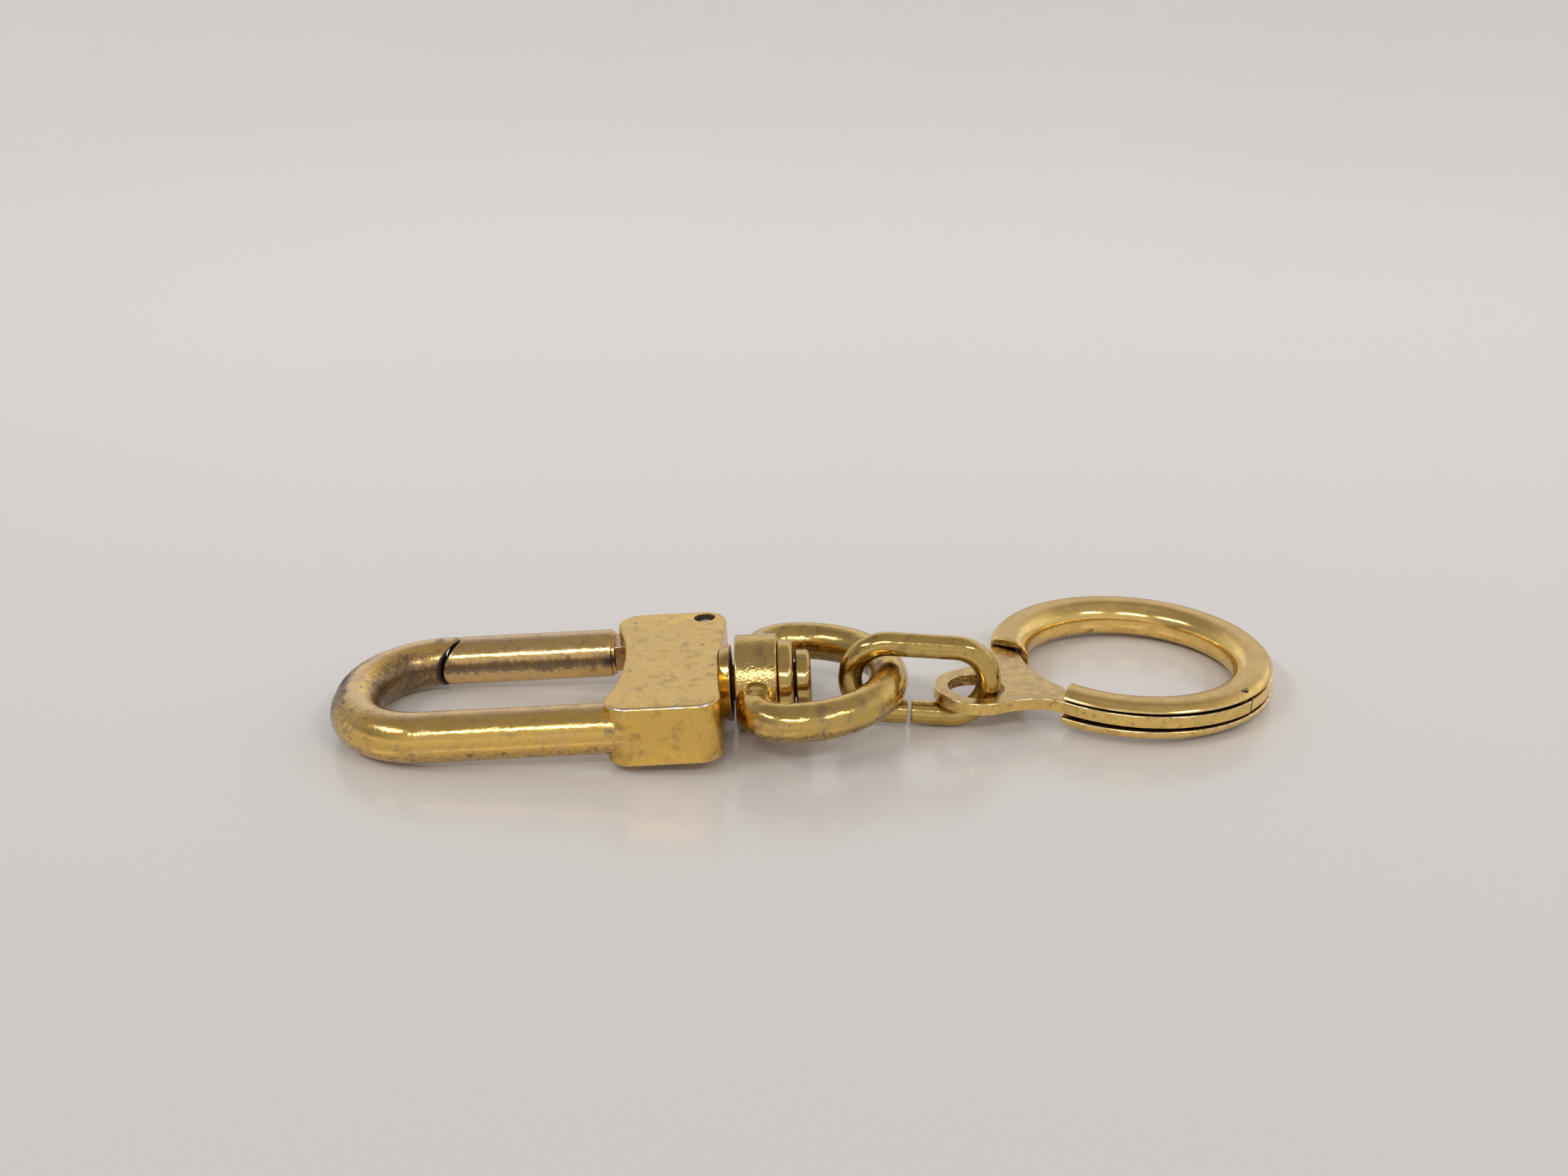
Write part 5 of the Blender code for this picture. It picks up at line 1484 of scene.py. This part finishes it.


# Finishes: a colour is given, or is one of the holder's own by name; sizes are in millimetres; deep is
# the colour of tarnish and of painted shade
FINISHES = {
    "Block plating": dict(
        main="gold", second=(0.76, 0.52, 0.20), thin=(0.42, 0.285, 0.11), deep="brown",
        roughness=0.25, film=0.75, film_rough=0.10, patch_mm=1.8, stain=0.75, stain_mm=1.3,
        speck_mm=0.55, speck_share=0.30, line_long=3.0, line_wide=0.14, wave=1.8, wave_mm=1.5,
        grain=1.6, edge_amount=0.42),
    "Bow plating": dict(
        main="gold", second=(0.72, 0.50, 0.25), thin="umber", deep="brown",
        roughness=0.14, film=0.75, film_rough=0.20, patch_mm=2.2, stain=0.40, speck_mm=0.6,
        speck_share=0.40, line_long=0.35, line_wide=1.1, line_depth=0.50, wave=0.9, wave_mm=1.1,
        grain=1.8, edge_amount=0.35, grit=0.30, coat=0.30),
    "Gate plating": dict(
        main=(0.80, 0.54, 0.20), second=(0.66, 0.50, 0.33), thin="umber", deep=(0.24, 0.165, 0.10),
        roughness=0.15, film=0.7, film_rough=0.20, patch_mm=1.8, stain=0.50, speck_mm=0.7,
        speck_share=0.35, line_long=0.40, line_wide=1.2, line_depth=0.32, wave=0.9, wave_mm=1.1,
        grain=1.6, edge_amount=0.30, grit=0.25, coat=0.10),
    "Pin metal": dict(
        main=(0.62, 0.42, 0.16), second="umber", thin="brown", deep="pit",
        roughness=0.26, film=0.2, stain=0.6, edge_amount=0.35, wave=0.7, wave_mm=0.5),
    "Spring wire": dict(
        main="steel", second=(0.30, 0.27, 0.24), thin="umber", deep="brown",
        roughness=0.28, film=0.0, stain=0.3, patch_mm=0.9, line_long=4.0, line_wide=0.05, wave=0.1,
        edge_amount=0.1),
    "Turned brass": dict(
        main=(0.62, 0.42, 0.13), second="tan", thin="umber", deep="brown",
        roughness=0.13, film=0.2, stain=0.45, patch_mm=1.4, speck_share=0.2, line_long=0.08,
        line_wide=5.0, line_depth=0.10, wave=0.6, wave_mm=1.2, edge_amount=0.30, grit=0.12),
    "Eye plating": dict(
        main=(0.71, 0.49, 0.13), second=(0.60, 0.42, 0.16), thin="umber", deep="brown",
        roughness=0.15, film=0.62, film_rough=0.06, film_grit=0.9, stain=0.75, stain_mm=1.3,
        patch_mm=1.6, speck_mm=0.7, speck_share=0.30, pit_mm=2.0, pit_share=0.35, line_long=5.0,
        line_wide=0.12, wave=2.2, wave_mm=1.2, edge_amount=0.28, grit=0.36),
    "Link brass": dict(
        main=(0.66, 0.46, 0.14), second=(0.58, 0.39, 0.12), thin=(0.26, 0.17, 0.08),
        deep=(0.11, 0.07, 0.035), roughness=0.11, film=0.4, film_rough=0.08, stain=0.60, patch_mm=1.8,
        speck_share=0.3, line_long=8.0, line_wide=0.10, wave=0.8, wave_mm=1.1, edge_amount=0.35,
        grit=0.10),
    # Tab: its light gold edge colour is painted highlight along the rims as well as rubbed plating
    "Tab brass": dict(
        main=(0.92, 0.64, 0.20), second=(0.54, 0.37, 0.16), thin=(0.34, 0.22, 0.10),
        deep=(0.14, 0.08, 0.04), edge_colour=(0.95, 0.80, 0.48), roughness=0.16, film=0.75,
        film_rough=0.10, stain=0.55, stain_mm=0.7, patch_mm=1.0, line_long=4.0, line_wide=0.12,
        wave=1.6, wave_mm=0.9, edge_amount=0.62, grit=0.12),
    "Ring brass": dict(
        main=(0.95, 0.67, 0.22), second=(0.575, 0.39, 0.135), thin=(0.50, 0.34, 0.14),
        deep=(0.05, 0.03, 0.02), edge_colour=(0.97, 0.82, 0.50), roughness=0.13, film=0.85,
        film_rough=0.15, stain=0.14, patch_mm=2.2, speck_share=0.12, line_long=10.0, line_wide=0.12,
        wave=0.30, wave_mm=2.0, edge_amount=0.30, pit_share=0.03),
}


def plating(context, name):
    """The finish of that name, made the first time it is asked for."""
    made = bpy.data.materials.get(name)
    if made:
        return made
    own = context.scene.holder_finish
    values = {"edge_colour": "silver", **FINISHES[name]}
    for part, value in values.items():
        if isinstance(value, str):
            values[part] = tuple(getattr(own, value))
    return worn_metal(name, own, **values)


class HOLDER_OT_stage(bpy.types.Operator):
    """Studio: a pale table, three soft lamps in front and above, a plain world and the camera"""
    bl_idname = "holder.stage"
    bl_label = "Stage"

    def execute(self, context):
        self.table(context)
        self.world(context)
        self.lamps(context)
        self.camera(context)
        context.scene.view_settings.view_transform = 'Standard'
        return {'FINISHED'}

    def table(self, context):
        """Round table top: z = 0, and beyond its flat part it rises as (r - flat)^2 / 4."""
        own = tuple(context.scene.holder_finish.table)
        r = np.concatenate([np.linspace(0.0, TABLE_FLAT, 12)[1:], np.linspace(TABLE_FLAT, 3.0, 24)[1:]])
        v = full_turn(TABLE_SIDES)
        z = np.maximum(r - TABLE_FLAT, 0.0) ** 2 / 4
        rings = np.stack(np.broadcast_arrays(r[:, None] * np.cos(v), r[:, None] * np.sin(v),
                                             z[:, None]), -1)
        n, m = rings.shape[:2]
        across = np.arange(m)
        fan = np.stack([np.full(m, n * m), across, (across + 1) % m], -1)
        points = np.concatenate([rings.reshape(-1, 3), np.zeros((1, 3))])
        mesh = bpy.data.meshes.new("table")
        mesh.from_pydata(points.tolist(), [], net(n, m)[:, [0, 3, 2, 1]].tolist() + fan.tolist())
        mesh.shade_smooth()
        table = object_of("table", mesh)
        material, tree, shader, here = new_material("Table top")
        cloud = place_mask(tree, "Patches", Place=here, Size=90.0, Low=0.3, High=0.7)
        grain = place_mask(tree, "Patches", Place=here, Size=0.5, Low=0.3, High=0.7)
        dust = place_mask(tree, "Specks", Place=here, Spacing=26.0, Size=0.022, Share=0.28)
        clouded, near = (tuple(c * k for c, k in zip(own, shade)) for shade in TABLE_SHADES)
        far = add_node(tree, 'ShaderNodeSeparateXYZ', Vector=here).outputs["Y"]
        colour = mix_colour(tree, cloud, own, clouded)
        # painted shade: the table darker near the camera, lighter far off
        colour = mix_colour(tree, ranged(tree, far, -0.10, 0.35), near, colour)
        colour = layered(tree, colour, (grain, 0.05, (0.5, 0.48, 0.46)),
                         (dust, 0.45, (0.30, 0.26, 0.22)))
        tree.links.new(colour, shader.inputs["Base Color"])
        shader.inputs["Roughness"].default_value = 0.19
        shader.inputs["Specular IOR Level"].default_value = 0.5
        table.data.materials.append(material)

    def world(self, context):
        """Plain world: brighter near the horizon and behind, darker overhead and to the left."""
        world = bpy.data.worlds.new("Studio air")
        context.scene.world = world
        world.use_nodes = True
        tree = world.node_tree
        back = tree.nodes["Background"]
        way = add_node(tree, 'ShaderNodeTexCoord').outputs["Generated"]
        x, y, z = add_node(tree, 'ShaderNodeSeparateXYZ', Vector=way).outputs
        left = ranged(tree, x, -0.95, -0.20, 0.50, 1.0)
        behind = ranged(tree, y, -0.3, 0.6, 0.60, 0.93)
        high = ranged(tree, z, 0.42, 0.82)
        dim = mix_colour(tree, high, (1.0, 1.0, 1.0), (0.0, 0.0, 0.0))
        shade = maths(tree, 'MULTIPLY', dim, maths(tree, 'MULTIPLY', left, behind))
        shade = summed(tree, shade, (high, ranged(tree, x, -0.45, 0.15, 0.31, 0.42)))
        glow = mix_colour(tree, high, (1.0, 0.98, 0.965), (1.0, 0.93, 0.90))
        air = mix_colour(tree, shade, (0.0, 0.0, 0.0), glow)
        tree.links.new(air, back.inputs["Color"])
        back.inputs["Strength"].default_value = 1.0

    def lamps(self, context):
        """Three soft boxes on an arc in front of the table, each aimed at the object."""
        for name, turn, rise, wide, power in LAMPS:
            turn, rise, wide = (math.radians(angle) for angle in (turn, rise, wide))
            flat = math.cos(rise)
            lamp = bpy.data.lights.new(name, 'AREA')
            lamp.shape = 'RECTANGLE'
            lamp.size = 2 * LAMP_FAR * math.tan(wide / 2) * flat
            lamp.size_y = 2 * LAMP_FAR * math.tan(LAMP_HALF_HIGH)
            lamp.energy = power * math.pi * lamp.size * lamp.size_y
            lamp.color = (1.0, 0.985, 0.965)
            obj = object_of(name, lamp)
            aim = Vector((math.sin(turn) * flat, -math.cos(turn) * flat, math.sin(rise)))
            obj.location = aim * LAMP_FAR
            obj.rotation_euler = aim.to_track_quat('Z', 'Y').to_euler()

    def camera(self, context):
        """Camera turned, tipped down and rolled as the three angles say."""
        down, turn, roll = (math.radians(angle)
                            for angle in (CAMERA_DOWN_DEG, CAMERA_TURN_DEG, CAMERA_ROLL_DEG))
        ahead = Vector((math.sin(turn) * math.cos(down), math.cos(turn) * math.cos(down),
                        -math.sin(down)))
        level = Vector((math.cos(turn), -math.sin(turn), 0.0))
        upright = level.cross(ahead)
        right = level * math.cos(roll) + upright * math.sin(roll)
        up = upright * math.cos(roll) - level * math.sin(roll)
        data = bpy.data.cameras.new("camera")
        data.sensor_width = SENSOR_MM
        data.lens = FOCAL_PIXELS / PICTURE_WIDTH * data.sensor_width
        data.clip_start = 0.005
        data.clip_end = 20.0
        camera = object_of("camera", data)
        axes = Matrix((right, up, -ahead)).transposed().to_4x4()
        camera.matrix_world = Matrix.Translation(CAMERA_AT) @ axes
        context.scene.camera = camera


STEPS = ("block", "bow", "gate", "pins", "spring", "swivel", "eye", "link", "tab", "ring", "stage")


class HOLDER_PT_steps(bpy.types.Panel):
    """Lists the steps that make the key holder"""
    bl_idname = "HOLDER_PT_steps"
    bl_label = "Key Holder"
    bl_space_type = 'VIEW_3D'
    bl_region_type = 'UI'
    bl_category = "Key Holder"

    def draw(self, context):
        for step in STEPS:
            self.layout.operator("holder." + step)


GROUPS = (("holder_hook", HookSizes), ("holder_gate", GateSizes), ("holder_swivel", SwivelSizes),
          ("holder_link", LinkSizes), ("holder_ring", RingSizes), ("holder_finish", HolderFinish))
CLASSES = (HOLDER_OT_block, HOLDER_OT_bow, HOLDER_OT_gate, HOLDER_OT_pins, HOLDER_OT_spring,
           HOLDER_OT_swivel, HOLDER_OT_eye, HOLDER_OT_link, HOLDER_OT_tab, HOLDER_OT_ring,
           HOLDER_OT_stage, HOLDER_PT_steps)


def register():
    for name, group in GROUPS:
        bpy.utils.register_class(group)
        setattr(bpy.types.Scene, name, bpy.props.PointerProperty(type=group))
    for cls in CLASSES:
        bpy.utils.register_class(cls)


def unregister():
    for cls in reversed(CLASSES):
        bpy.utils.unregister_class(cls)
    for name, group in reversed(GROUPS):
        delattr(bpy.types.Scene, name)
        bpy.utils.unregister_class(group)


def main():
    register()
    for step in STEPS:
        getattr(bpy.ops.holder, step)()
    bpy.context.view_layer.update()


if __name__ == "__main__":
    main()
